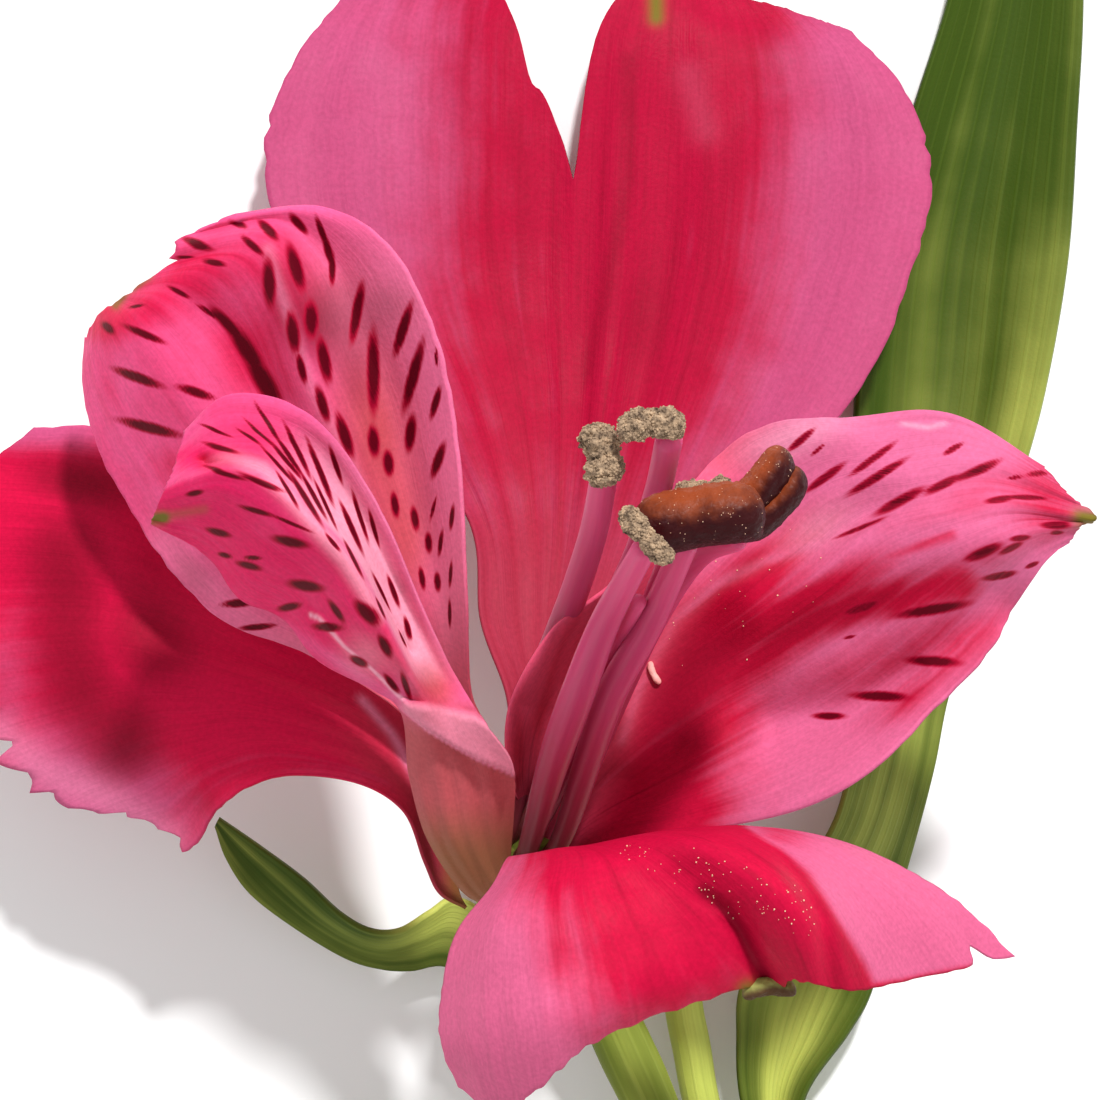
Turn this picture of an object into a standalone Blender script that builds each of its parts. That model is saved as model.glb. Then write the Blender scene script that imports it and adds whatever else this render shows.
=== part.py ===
"""A cut alstroemeria stem, laid down: one open bloom, one closed bud, leaves and stem.

The bloom faces up (+Z), the stem lies along -Y and everything rests on the plane z = 0.
The bloom is laid out on a drawing sheet, seen from straight above. A sheet point is
(across, down, height): two counts of sheet steps from the sheet's top left corner, and
the height above the surface in millimetres.
"""

import math

import bmesh
import bpy
from mathutils import Matrix, Vector

MM = 0.001

# Driving dimensions, in millimetres
SHEET_WIDTH = 66.0
EYE_ABOVE_SHEET = 400.0
SHEET_HEIGHT = 25.0
BLADE_THICKNESS = 0.7
STEM_LENGTH = 145.0
STEM_RADIUS = 2.4
NODE_RADIUS = 2.9
STEM_SIDES = 10
STEM_STEPS = 29
NODE_SPREAD = 4.0
WHORL_DEPTH = 20.0
MIDDLE = (10.9, -66.7)

# The sheet is divided in steps, so a step is a fixed real length
SHEET_STEPS = 1100
STEP = SHEET_WIDTH / SHEET_STEPS

# Outer tepals. Each line runs from the claw to the far margin
OUTER_TOP = {
    "left margin": [(490, 828, 15.6), (505, 770, 15.8), (508, 700, 16), (481, 620, 13.6), (469, 520, 11.2),
                    (385, 400, 8.8), (290, 270, 6.8), (263, 155, 5.2), (288, 65, 3.8), (345, -8, 1.7)],
    "left half": [(498, 825, 15.1), (518, 765, 14.6), (530, 705, 14), (520, 625, 12.3), (512, 525, 10.2),
                  (478, 405, 7.8), (432, 275, 5.8), (425, 145, 4.4), (425, 40, 2.8), (440, -26, 0.3)],
    "rib": [(507, 823, 14.9), (533, 762, 14.2), (552, 708, 13.3), (563, 632, 11.6), (580, 530, 9.3),
            (597, 410, 7.2), (608, 280, 5.2), (613, 150, 4.1), (620, 45, 3.4), (632, -14, 2.4)],
    "right half": [(516, 825, 15.1), (550, 765, 14.6), (582, 705, 14), (620, 625, 12.3), (668, 520, 10.2),
                   (730, 400, 8), (778, 268, 6), (790, 140, 4.6), (780, 45, 2.9), (752, 0, 0.3)],
    "right margin": [(525, 828, 15.6), (568, 768, 15.6), (615, 700, 15.8), (672, 612, 13.6), (752, 505, 11.2),
                     (858, 395, 8.8), (921, 255, 6.8), (932, 170, 5.2), (908, 92, 3.8), (850, 30, 1.7)],
}
OUTER_LEFT = {
    "lower margin": [(466, 908, 18.3), (440, 893, 20), (425, 862, 21), (403, 810, 22), (352, 781, 22),
                     (277, 777, 20.5), (222, 806, 18), (188, 852, 14.5), (140, 833, 12.5)],
    "lower half": [(461, 900, 17.7), (437, 876, 19.2), (425, 836, 19.8), (410, 785, 20.3), (350, 750, 20.5),
                   (262, 728, 19.3), (195, 735, 17.5), (135, 755, 15), (30, 803, 11.5)],
    "rib": [(458, 892, 17.4), (438, 862, 18.8), (430, 820, 19), (415, 765, 19), (350, 715, 19.3),
            (258, 680, 18.2), (175, 655, 16.5), (95, 640, 15), (-60, 655, 10.5)],
    "upper half": [(456, 883, 17.2), (440, 848, 18.6), (438, 800, 18.6), (425, 740, 18.4), (360, 670, 18),
                   (262, 612, 16.5), (180, 560, 15), (90, 520, 14), (-52, 505, 11)],
    "upper margin": [(455, 874, 17.1), (445, 832, 18.6), (448, 785, 18.6), (440, 715, 18), (372, 620, 17),
                     (275, 535, 15), (190, 465, 13.5), (110, 428, 13), (35, 427, 11.5)],
}
OUTER_BOTTOM = {
    "left margin": [(537, 902, 18.6), (522, 882, 23), (510, 858, 28.5), (492, 888, 31),
                    (458, 932, 32), (443, 985, 32), (441, 1040, 30.5), (462, 1088, 28)],
    "left lobe": [(542, 900, 18.2), (534, 880, 22.4), (532, 855, 29.2), (525, 872, 33.3),
                  (505, 915, 36), (500, 975, 37), (505, 1035, 36), (522, 1118, 31.5)],
    "left of crease": [(548, 898, 18), (548, 878, 22), (556, 851, 29.8), (575, 858, 35),
                       (575, 900, 37.5), (585, 955, 38.5), (595, 1005, 37.5), (600, 1047, 34)],
    "crease": [(552, 897, 17.9), (563, 876, 21.8), (586, 847, 30), (635, 855, 35.5),
               (672, 885, 37), (708, 920, 37.3), (738, 955, 36.3), (765, 991, 33.8)],
    "ridge": [(559, 897, 18), (578, 874, 22), (622, 840, 30.5), (690, 838, 36.5),
              (740, 862, 39), (780, 895, 39.8), (808, 940, 38.5), (828, 996, 35.5)],
    "right lobe": [(566, 898, 18.2), (592, 870, 22.4), (658, 834, 29.5), (735, 830, 33),
                   (785, 845, 34), (840, 880, 34.2), (880, 925, 33), (915, 980, 30.5)],
    "right margin": [(573, 900, 18.6), (606, 864, 23), (693, 831, 28), (768, 829, 30),
                     (840, 842, 29.5), (905, 869, 28.2), (965, 907, 26.8), (1015, 957, 25)],
}

# The top tepal's notch: its place and widths across (from -1 to 1), its depth as a share of the length
NOTCH_AT = -0.1
NOTCH_LEFT = 0.22
NOTCH_RIGHT = 0.1
NOTCH_DEPTH = 0.235

# Inner tepals, which are folded along their length
INNER_UPPER_LEFT = {
    "lower margin": [(466, 862, 16.6), (452, 815, 19.5), (436, 760, 21.5), (400, 712, 22.8), (310, 655, 22),
                     (230, 625, 21.2), (175, 575, 21), (130, 510, 21), (97, 445, 21), (84, 385, 21),
                     (86, 335, 20.5)],
    "lower half": [(470, 857, 16.2), (460, 808, 18.9), (448, 752, 20.8), (412, 706, 22.3), (345, 650, 23),
                   (270, 600, 23.2), (205, 540, 24), (160, 460, 25), (120, 395, 25), (98, 345, 24),
                   (98, 314, 22)],
    "bulge": [(473, 853, 16), (466, 802, 18.5), (456, 746, 20.4), (425, 702, 22), (378, 642, 24),
              (310, 570, 25), (245, 500, 26.5), (205, 420, 28), (165, 360, 28), (135, 320, 27),
              (115, 303, 23.5)],
    "rib": [(476, 849, 15.9), (471, 797, 18.3), (463, 741, 20.2), (437, 698, 22), (400, 632, 24.5),
            (340, 540, 26), (290, 460, 27.5), (262, 390, 28), (225, 325, 28.5), (180, 288, 28.5),
            (131, 290, 25)],
    "crease": [(479, 845, 16), (477, 792, 18.5), (471, 738, 20.4), (449, 695, 22.2), (420, 620, 25.3),
               (370, 515, 27.5), (335, 435, 29.5), (308, 375, 31), (288, 305, 32), (250, 250, 31.5),
               (163, 263, 27)],
    "wall": [(482, 842, 16.2), (483, 788, 18.9), (478, 734, 20.8), (460, 692, 22.8), (445, 610, 26),
             (415, 500, 26.5), (392, 410, 27.5), (360, 330, 29), (330, 265, 30), (275, 222, 30.5),
             (180, 238, 27.5)],
    "upper margin": [(486, 840, 16.6), (490, 784, 19.5), (485, 730, 21.5), (470, 688, 24), (467, 600, 28),
                     (463, 500, 30), (452, 400, 31), (430, 315, 32), (385, 240, 32), (320, 207, 31),
                     (225, 216, 28.5)],
}
INNER_FRONT_LEFT = {
    "lower margin": [(490, 905, 18.5), (462, 890, 21.5), (428, 838, 25), (410, 776, 27.6), (402, 712, 30),
                     (372, 688, 31), (318, 660, 31), (283, 618, 31), (240, 598, 31), (214, 562, 32),
                     (190, 543, 33), (170, 533, 33.5), (151, 523, 33.3)],
    "lower half": [(496, 905, 18.1), (471, 889, 22), (440, 840, 26), (424, 779, 28.5), (412, 716, 31),
                   (385, 682, 32.2), (338, 648, 33.2), (300, 600, 34), (256, 572, 34.7), (226, 540, 35),
                   (200, 522, 35.5), (174, 520, 34.6), (152, 518, 33.6)],
    "below ridge": [(501, 905, 17.9), (480, 887, 22.3), (454, 841, 26.5), (440, 779, 29), (423, 718, 31.5),
                    (398, 676, 33.2), (358, 630, 35.6), (322, 578, 36.6), (280, 545, 37.6), (245, 518, 37.7),
                    (213, 500, 37.6), (180, 505, 36), (156, 508, 34.5)],
    "ridge": [(507, 905, 17.8), (489, 884, 22.3), (468, 838, 26.5), (456, 777, 29), (434, 718, 31.5),
              (408, 672, 34), (376, 612, 37), (347, 560, 38.6), (310, 522, 39.6), (272, 487, 40),
              (230, 470, 39.5), (190, 480, 37.6), (163, 492, 35.6)],
    "above ridge": [(513, 904, 17.9), (497, 880, 22), (482, 833, 26), (474, 772, 29), (448, 716, 31),
                    (418, 672, 31.6), (388, 612, 33), (360, 553, 34.6), (325, 510, 35.6), (292, 472, 36.5),
                    (250, 452, 37.4), (203, 458, 36.6), (170, 478, 35.5)],
    "upper half": [(518, 903, 18.1), (504, 875, 21.5), (497, 826, 25.6), (492, 768, 29), (463, 714, 31),
                   (432, 668, 30.2), (405, 606, 31), (376, 545, 32.8), (345, 495, 34), (312, 450, 35.4),
                   (268, 430, 36.4), (215, 430, 36), (176, 458, 35)],
    "upper margin": [(522, 903, 18.5), (510, 868, 21), (513, 816, 25), (513, 764, 29), (482, 718, 31.2),
                     (452, 668, 30.4), (420, 600, 32), (393, 535, 34), (368, 487, 35), (335, 438, 36),
                     (290, 403, 36.4), (228, 395, 35.4), (184, 432, 34.4)],
}
INNER_RIGHT = {
    "upper margin": [(530, 836, 16.2), (508, 762, 20.6), (512, 698, 22.2), (553, 628, 23.4), (620, 575, 24.6),
                     (695, 478, 26), (765, 424, 28), (860, 416, 29), (950, 413, 28.5), (1045, 468, 27)],
    "upper half": [(537, 841, 15.9), (535, 780, 18.3), (556, 712, 19.6), (610, 645, 21), (680, 590, 22.5),
                   (752, 520, 24.6), (815, 468, 27), (895, 455, 29), (975, 450, 29), (1068, 494, 27.3)],
    "rib": [(545, 847, 15.8), (565, 795, 17.6), (603, 732, 19.2), (672, 672, 20.6), (745, 625, 22),
            (815, 575, 24.5), (875, 528, 27), (940, 510, 29), (1005, 500, 29), (1098, 518, 27)],
    "lower half": [(552, 854, 16.1), (592, 815, 18.3), (655, 775, 20.6), (733, 728, 22.4), (805, 690, 24),
                   (875, 645, 26), (930, 600, 28), (980, 560, 29), (1030, 535, 28.5), (1082, 525, 27)],
    "lower margin": [(558, 862, 16.7), (618, 840, 20.3), (705, 830, 23), (800, 809, 26), (870, 772, 28),
                     (935, 712, 29), (995, 650, 29), (1018, 605, 28), (1045, 562, 27), (1070, 541, 26.5)],
}

# Leaves beside the bloom
BRACT_LEFT = {
    "upper edge": [(561, 996, 5.4), (520, 960, 3.4), (488, 915, 3.4), (455, 898, 4), (430, 912, 4.6),
                   (400, 930, 5), (370, 930, 5.4), (340, 913, 5.9), (305, 880, 6.2), (262, 848, 6.5),
                   (219, 818, 6.8)],
    "rib": [(561, 1004, 5.1), (520, 983, 3), (486, 953, 2.6), (450, 932, 2.8), (420, 941, 3.2),
            (390, 949, 3.7), (358, 943, 4.3), (318, 920, 5), (278, 886, 5.6), (244, 853, 6.1),
            (217, 822, 6.7)],
    "lower edge": [(561, 1012, 5), (520, 1005, 3), (485, 990, 2.4), (445, 966, 2.2), (410, 970, 2.6),
                   (380, 968, 3.2), (345, 957, 3.8), (295, 927, 4.6), (250, 893, 5.4), (226, 858, 6),
                   (215, 826, 6.6)],
}
LONG_LEAF_RIGHT = {
    "left edge": [(777, 1282, 3.6), (768, 1195, 3.6), (742, 1100, 3.6), (738, 1035, 3.8), (742, 985, 4.4),
                  (775, 905, 6), (828, 835, 6.5), (850, 770, 5.5), (868, 690, 4.2), (872, 600, 3.4),
                  (858, 495, 3), (855, 400, 2.6), (872, 260, 2.2), (910, 120, 2), (948, 0, 2),
                  (978, -130, 2.2), (1008, -260, 2.4), (1032, -350, 2.5)],
    "rib": [(781, 1283, 3), (780, 1195, 2.6), (773, 1100, 2), (785, 1035, 1.8), (803, 980, 2.2),
            (833, 905, 4.2), (870, 838, 4.5), (892, 768, 3.6), (908, 690, 2.6), (928, 600, 1.8),
            (938, 492, 1), (952, 392, 0.5), (965, 257, 0.36), (992, 115, 0.4), (1015, -5, 0.7),
            (1030, -135, 1.2), (1035, -262, 2), (1036, -352, 2.4)],
    "right edge": [(785, 1284, 3.4), (793, 1195, 3.4), (803, 1100, 3.6), (848, 1033, 3.6), (872, 990, 3.2),
                   (893, 912, 2.2), (913, 842, 2.2), (933, 768, 2.2), (950, 690, 2), (985, 600, 2.2),
                   (1018, 490, 2.4), (1045, 390, 2.6), (1068, 257, 2.4), (1077, 120, 2.2), (1083, 0, 2),
                   (1080, -130, 2), (1060, -262, 2.2), (1040, -352, 2.5)],
}

# Stamens: the path of each filament from the ovary up, and its radius at the foot, middle and tip
FILAMENTS = {
    "filament_1": ([(490, 872, 18.0), (510, 825, 20), (524, 760, 23.4), (536, 690, 27.2), (562, 620, 31.6),
                    (580, 560, 36.2), (597, 505, 41.6), (603, 478, 44.5)], (0.45, 0.95, 0.7)),
    "filament_2": ([(499, 851, 17.2), (526, 818, 18.9), (548, 765, 21.8), (572, 690, 25.6), (596, 620, 30.2),
                    (614, 560, 35), (638, 500, 40), (652, 434, 46.6)], (0.4, 0.75, 0.7)),
    "filament_3": ([(516, 883, 18.3), (538, 830, 22.3), (560, 760, 27.4), (586, 690, 32.4), (613, 620, 37.8),
                    (644, 549, 47.1)], (0.45, 1.15, 0.6)),
    "filament_4": ([(537, 880, 18.5), (570, 832, 22), (597, 760, 26), (622, 690, 31), (656, 620, 36.4),
                    (688, 541, 42.8)], (0.45, 1.15, 0.8)),
    "filament_5": ([(540, 862, 17.5), (569, 829, 19.5), (601, 762, 22.6), (625, 690, 27), (656, 620, 31.6),
                    (693, 560, 36.6), (737, 543, 40.8)], (0.4, 0.75, 0.6)),
    "filament_6": ([(520, 849, 17.1), (548, 820, 18.5), (570, 765, 20.9), (598, 690, 24.8), (630, 620, 28.4),
                    (656, 560, 33.8), (686, 508, 39.4)], (0.4, 0.65, 0.6)),
    "style": ([(512, 864, 17.8), (542, 823, 20.3), (570, 762, 23.8), (599, 690, 27.4), (625, 620, 31.8),
               (632, 600, 33.2)], (0.35, 0.45, 0.5)),
}

# Anthers: centre on the sheet, heading in degrees, length, width and sideways bend in millimetres
ANTHERS = {
    "anther_1": ((601, 455, 46), 100, 3.9, 2.5, 0.2),
    "anther_2": ((650, 424, 48), 4, 4.3, 2.1, -0.2),
    "anther_3": ((645, 537, 48.4), -48, 4.4, 1.8, 0.1),
    "anther_4": ((703, 518, 45.2), 7, 7.6, 3.7, -0.3),
    "anther_5": ((776, 494, 42.6), 58, 6.6, 2.8, 0.8),
    "anther_6": ((691, 492, 41.4), 20, 3.6, 1.8, 0.1),
}
POLLEN_GROOVE = 0.12

# Ovary and pedicels
OVARY_FOOT = (528, 945, 7.8)
OVARY_TOP = (513, 868, 17.1)
OVARY_RADIUS = 3.0
OVARY_RIB = 0.07
PEDICEL_BLOOM = [(700, 1253, 3.4), (683, 1185, 5), (649, 1100, 5.8), (628, 1055, 6.2), (603, 1005, 6.4),
                 (575, 975, 6.6), (541, 957, 7.0)]
PEDICEL_BLOOM_RADII = (1.35, 1.85, 1.3)
PEDICEL_BUD = [(748, 1253, 3.2), (724, 1185, 2.6), (701, 1100, 3), (692, 1050, 3.4), (684, 1008, 3.7),
               (680, 960, 4.1), (686, 905, 4.5), (699, 862, 4.8)]
PEDICEL_BUD_RADII = (1.05, 1.25, 1.0)

# Closed bud
BUD_OVARY_FOOT = (700, 856, 4.8)
BUD_OVARY_TOP = (712, 820, 5.0)
BUD_OVARY_RADIUS = 1.9
BUD_FOOT = (714, 812, 5.0)
BUD_TIP = (790, 590, 5.2)
BUD_RADIUS = 3.6
BUD_LOBE = 0.08

# Main stem, in real millimetres from the sheet's middle
STEM_TOP = (10.9, -45.3)
STEM_DRIFT = -9.0
STEM_BOW = 2.0

# Leaves on the main stem: distance below its top, side, heading in degrees, length, width, lift and bend
STEM_LEAVES = {
    "whorl_leaf_1": (2.4, -1, 184, 55, 10.5, 5.0, -3.0),
    "whorl_leaf_2": (5.6, 1, -9, 56, 10.5, 5.0, 3.0),
    "whorl_leaf_3": (6.8, -1, 224, 60, 11.5, 6.0, 5.0),
    "whorl_leaf_4": (10.0, 1, -47, 57, 11.0, 6.0, -5.0),
    "stem_leaf_1": (35, -1, 232, 64, 11.5, 7.0, -4.0),
    "stem_leaf_2": (56, 1, -54, 60, 11.0, 7.0, 4.0),
    "stem_leaf_3": (82, -1, 234, 52, 10.0, 6.0, -4.0),
}
LEAF_STALK_WIDTH = 1.6
LEAF_TIP_WIDTH = 0.5
LEAF_FOLD = 0.16
LEAF_TWIST = 80.0
LEAF_TWIST_END = 0.22
LEAF_SEAT_GAP = 0.7

# Colours: red, green, blue and roughness
PINK = (0.72, 0.10, 0.24, 0.5)
CRIMSON = (0.62, 0.03, 0.11, 0.5)
ROSE = (0.78, 0.22, 0.36, 0.5)
MAUVE = (0.55, 0.09, 0.22, 0.45)
POLLEN_BROWN = (0.20, 0.06, 0.02, 0.8)
POLLEN_GREY = (0.28, 0.21, 0.15, 0.9)
LEAF_GREEN = (0.08, 0.16, 0.03, 0.45)
STEM_GREEN = (0.30, 0.40, 0.08, 0.45)


def clear_scene():
    """Removes what the scene holds at the start."""
    for thing in list(bpy.data.objects):
        bpy.data.objects.remove(thing, do_unlink=True)


def placed(point):
    """Real place, in metres, of a sheet point."""
    across, down, height = point
    nearness = 1 - (height - SHEET_HEIGHT) / EYE_ABOVE_SHEET
    x = (across - SHEET_STEPS / 2) * STEP * nearness
    y = (SHEET_STEPS / 2 - down) * STEP * nearness
    return settled(x, y, height)


def settled(x, y, z):
    """Place, in metres, of a point given in millimetres from the sheet's middle."""
    return Vector((x - MIDDLE[0], y - MIDDLE[1], z)) * MM


def smooth(values, t):
    """Smooth curve through evenly spaced values, at t from 0 to 1."""
    spans = len(values) - 1
    index = min(int(t * spans), spans - 1)
    f = t * spans - index
    here = values[index]
    following = values[index + 1]
    before = values[index - 1] if index else here * 2 - following
    after = values[index + 2] if index + 2 <= spans else following * 2 - here
    first = (following - before) * f
    second = (before * 2 - here * 5 + following * 4 - after) * f ** 2
    third = (here * 3 - before - following * 3 + after) * f ** 3
    return here + (first + second + third) / 2


def painted(thing, colour):
    """Gives an object its own material."""
    material = bpy.data.materials.new(thing.name)
    material.use_nodes = True
    surface = material.node_tree.nodes["Principled BSDF"]
    surface.inputs["Base Color"].default_value = (*colour[:3], 1)
    surface.inputs["Roughness"].default_value = colour[3]
    surface.inputs["Metallic"].default_value = 0
    thing.data.materials.append(material)
    return thing


def added(name, data, colour):
    """Links an object that holds this mesh or curve, in its own material."""
    thing = bpy.data.objects.new(name, data)
    bpy.data.collections["alstroemeria_stem"].objects.link(thing)
    return painted(thing, colour)


def meshed(name, shape):
    """Turns a bmesh into a smooth-shaded mesh."""
    mesh = bpy.data.meshes.new(name)
    shape.to_mesh(mesh)
    shape.free()
    mesh.shade_smooth()
    return mesh


def blade(name, place, across, lengthwise, colour):
    """A thin blade: a grid whose points follow place(u, v), u from -1 to 1 and v from 0 to 1."""
    shape = bmesh.new()
    bmesh.ops.create_grid(shape, x_segments=across, y_segments=lengthwise, size=1)
    for vertex in shape.verts:
        vertex.co = place(vertex.co.x, (vertex.co.y + 1) / 2)
    bmesh.ops.triangulate(shape, faces=shape.faces)
    thing = added(name, meshed(name, shape), colour)
    wall = thing.modifiers.new("thickness", "SOLIDIFY")
    wall.thickness = BLADE_THICKNESS * MM
    wall.offset = 0
    return thing


def drawn_surface(lines):
    """place(u, v) on the surface through a blade's drawn lines."""
    paths = [[placed(point) for point in line] for line in lines.values()]

    def place(u, v):
        return smooth([smooth(path, v) for path in paths], (u + 1) / 2)

    return place


def notched(place):
    """The same surface with the top tepal's V notch cut into its far margin."""

    def cut(u, v):
        away = u - NOTCH_AT
        width = NOTCH_LEFT if away < 0 else NOTCH_RIGHT
        nearness = max(0.0, 1 - abs(away) / width)
        return place(u, v * (1 - NOTCH_DEPTH * nearness))

    return cut


def crowded(place, middle, pull):
    """The same surface with its columns drawn closer together round one of them."""

    def crowd(u, v):
        away = u - middle
        side = 1 + middle if away < 0 else 1 - middle
        return place(middle + away * (1 - pull * (1 - abs(away) / side)), v)

    return crowd


def pipe(name, centres, radii, colour, sides):
    """A solid pipe through these centres, with a radius in millimetres at each."""
    curve = bpy.data.curves.new(name, "CURVE")
    curve.dimensions = "3D"
    curve.bevel_depth = MM
    curve.bevel_resolution = (sides - 4) // 2
    curve.use_fill_caps = True
    spline = curve.splines.new("POLY")
    spline.points.add(len(centres) - 1)
    for point, centre, radius in zip(spline.points, centres, radii):
        point.co = (*centre, 1)
        point.radius = radius
    return added(name, curve, colour)


def tube(name, path, radii, colour, steps, sides):
    """A pipe along a smooth path, with radii given at its foot, middle and tip."""
    shares = [number / steps for number in range(steps + 1)]
    centres = [smooth(path, t) for t in shares]
    return pipe(name, centres, [smooth(radii, t) for t in shares], colour, sides)


def anther(name, centre, heading, length, width, bend, colour):
    """A pollen sac: a long bean with a groove along its upper side."""
    shape = bmesh.new()
    lying = Matrix.Rotation(math.pi / 2, 4, "Y")
    bmesh.ops.create_uvsphere(shape, u_segments=12, v_segments=9, radius=1, matrix=lying)
    for vertex in shape.verts:
        x, y, z = vertex.co
        groove = POLLEN_GROOVE * max(0.0, z) * math.exp(-(y / 0.35) ** 2)
        vertex.co.x = x * length / 2 * MM
        vertex.co.y = (y * width / 2 + bend * (x ** 2 - 0.5)) * MM
        vertex.co.z = (z - groove) * width / 2 * MM
    thing = added(name, meshed(name, shape), colour)
    thing.location = placed(centre)
    thing.rotation_euler.z = math.radians(heading)
    return thing


def swollen(name, foot, top, radius, outline, lobes, lobe, colour, sides):
    """A lobed swelling from foot to top. outline(t) gives its fullness, t from 0 to 1."""
    start = placed(foot)
    axis = placed(top) - start
    shape = bmesh.new()
    bmesh.ops.create_uvsphere(shape, u_segments=sides, v_segments=9, radius=1)
    for vertex in shape.verts:
        turn = math.atan2(vertex.co.y, vertex.co.x)
        t = (1 + vertex.co.z) / 2
        ring = math.hypot(vertex.co.x, vertex.co.y)
        full = ring * outline(t) * radius * MM * (1 + lobe * math.cos(lobes * turn))
        vertex.co = Vector((math.cos(turn) * full, math.sin(turn) * full, t * axis.length))
    thing = added(name, meshed(name, shape), colour)
    thing.location = start
    thing.rotation_mode = "QUATERNION"
    thing.rotation_quaternion = axis.to_track_quat("Z", "Y")
    return thing


def barrel(t):
    """Fullness of an ovary: it keeps its width to the top, where the tepals and filaments sit."""
    return 0.86 + 0.14 * t + 0.55 * t ** 6


def spindle(t):
    """Fullness of a closed bud: widest above its middle, then drawn out to the tip."""
    return 1.08 - 0.42 * (2 * t - 1.1) ** 2 * (1 if t > 0.55 else 0.4)


def stem_point(below):
    """Centre of the main stem at a distance below its top, in millimetres."""
    t = below / STEM_LENGTH
    x = STEM_TOP[0] + STEM_DRIFT * t + STEM_BOW * math.sin(math.pi * t)
    return x, STEM_TOP[1] - below


def stem_radius(below):
    """Radius of the main stem, which swells at its top and where a single leaf starts."""
    nodes = [0] + [leaf[0] for leaf in STEM_LEAVES.values() if leaf[0] > WHORL_DEPTH]
    swell = max(math.exp(-((below - node) / NODE_SPREAD) ** 2) for node in nodes)
    return STEM_RADIUS + (NODE_RADIUS - STEM_RADIUS) * swell


def main_stem():
    """The main stem, from its cut end to the node that the pedicels leave. It lies on one of its sides."""
    places = [STEM_LENGTH * (1 - number / STEM_STEPS) for number in range(STEM_STEPS + 1)]
    radii = [stem_radius(below) for below in places]
    side_height = math.cos(math.pi / STEM_SIDES)
    centres = [settled(*stem_point(below), radius * side_height) for below, radius in zip(places, radii)]
    pipe("main_stem", centres, radii, STEM_GREEN, STEM_SIDES)


def leaf_width(t, width):
    """Width of a stem leaf along its length: a narrow stalk, a long blade and a drawn-out tip."""
    blade_part = math.sin(math.pi * min(1.0, t ** 0.75)) ** 0.85
    return LEAF_STALK_WIDTH * (1 - t) + LEAF_TIP_WIDTH * t + (width - LEAF_STALK_WIDTH) * blade_part


def stem_leaf_surface(below, side, heading, length, width, lift, bend):
    """place(u, v) on a stem leaf, which leaves the stem on one side, arches and turns over."""
    x, y = stem_point(below)
    start_x = x + side * (stem_radius(below) + LEAF_SEAT_GAP)
    angle = math.radians(heading)
    ahead = Vector((math.cos(angle), math.sin(angle), 0))
    sideways = Vector((-math.sin(angle), math.cos(angle), 0))
    foot_height = stem_radius(below)
    tip_height = BLADE_THICKNESS / 2

    def place(u, v):
        half = leaf_width(v, width) / 2
        turn = math.radians(LEAF_TWIST) * max(0.0, 1 - v / LEAF_TWIST_END) ** 2
        height = foot_height * (1 - v) ** 2 + tip_height + lift * math.sin(math.pi * v) * (1 - 0.35 * v)
        centre = Vector((start_x, y, 0)) + ahead * length * v + sideways * bend * math.sin(math.pi * v)
        centre.z = height
        fold = LEAF_FOLD * abs(u) * half
        point = centre + sideways * half * u * math.cos(turn)
        point.z += half * u * math.sin(turn) + fold * math.cos(turn)
        return settled(*point)

    return place


def tepals():
    """The six tepals of the open bloom."""
    top = crowded(notched(drawn_surface(OUTER_TOP)), NOTCH_AT, 0.5)
    blade("outer_tepal_top", top, 20, 14, CRIMSON)
    blade("outer_tepal_left", drawn_surface(OUTER_LEFT), 10, 14, CRIMSON)
    blade("outer_tepal_bottom", drawn_surface(OUTER_BOTTOM), 14, 14, PINK)
    blade("inner_tepal_upper_left", drawn_surface(INNER_UPPER_LEFT), 12, 15, ROSE)
    blade("inner_tepal_front_left", drawn_surface(INNER_FRONT_LEFT), 12, 16, ROSE)
    blade("inner_tepal_right", drawn_surface(INNER_RIGHT), 10, 14, PINK)


def stamens():
    """Six filaments with their anthers, and the style between them."""
    for name, (path, radii) in FILAMENTS.items():
        tube(name, [placed(point) for point in path], radii, MAUVE, steps=10, sides=8)
    for name, (centre, heading, length, width, bend) in ANTHERS.items():
        colour = POLLEN_BROWN if name in ("anther_4", "anther_5") else POLLEN_GREY
        anther(name, centre, heading, length, width, bend, colour)


def stalks():
    """The ovary, the two pedicels, the closed bud and the main stem."""
    swollen("ovary", OVARY_FOOT, OVARY_TOP, OVARY_RADIUS, barrel, 6, OVARY_RIB, STEM_GREEN, 24)
    swollen("bud_ovary", BUD_OVARY_FOOT, BUD_OVARY_TOP, BUD_OVARY_RADIUS, barrel, 6, OVARY_RIB,
            STEM_GREEN, 18)
    swollen("bud", BUD_FOOT, BUD_TIP, BUD_RADIUS, spindle, 3, BUD_LOBE, PINK, 18)
    bloom_path = [placed(point) for point in PEDICEL_BLOOM]
    bud_path = [placed(point) for point in PEDICEL_BUD]
    tube("pedicel_bloom", bloom_path, PEDICEL_BLOOM_RADII, STEM_GREEN, steps=11, sides=10)
    tube("pedicel_bud", bud_path, PEDICEL_BUD_RADII, STEM_GREEN, steps=11, sides=10)
    main_stem()


def leaves():
    """The leaves beside the bloom, the whorl under the pedicels and the leaves on the stem."""
    blade("bract_leaf_left", drawn_surface(BRACT_LEFT), 4, 14, LEAF_GREEN)
    blade("long_leaf_right", drawn_surface(LONG_LEAF_RIGHT), 4, 22, LEAF_GREEN)
    for name, measures in STEM_LEAVES.items():
        blade(name, stem_leaf_surface(*measures), 4, 14, LEAF_GREEN)


def main():
    clear_scene()
    bpy.context.scene.collection.children.link(bpy.data.collections.new("alstroemeria_stem"))
    tepals()
    stamens()
    stalks()
    leaves()


main()
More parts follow.
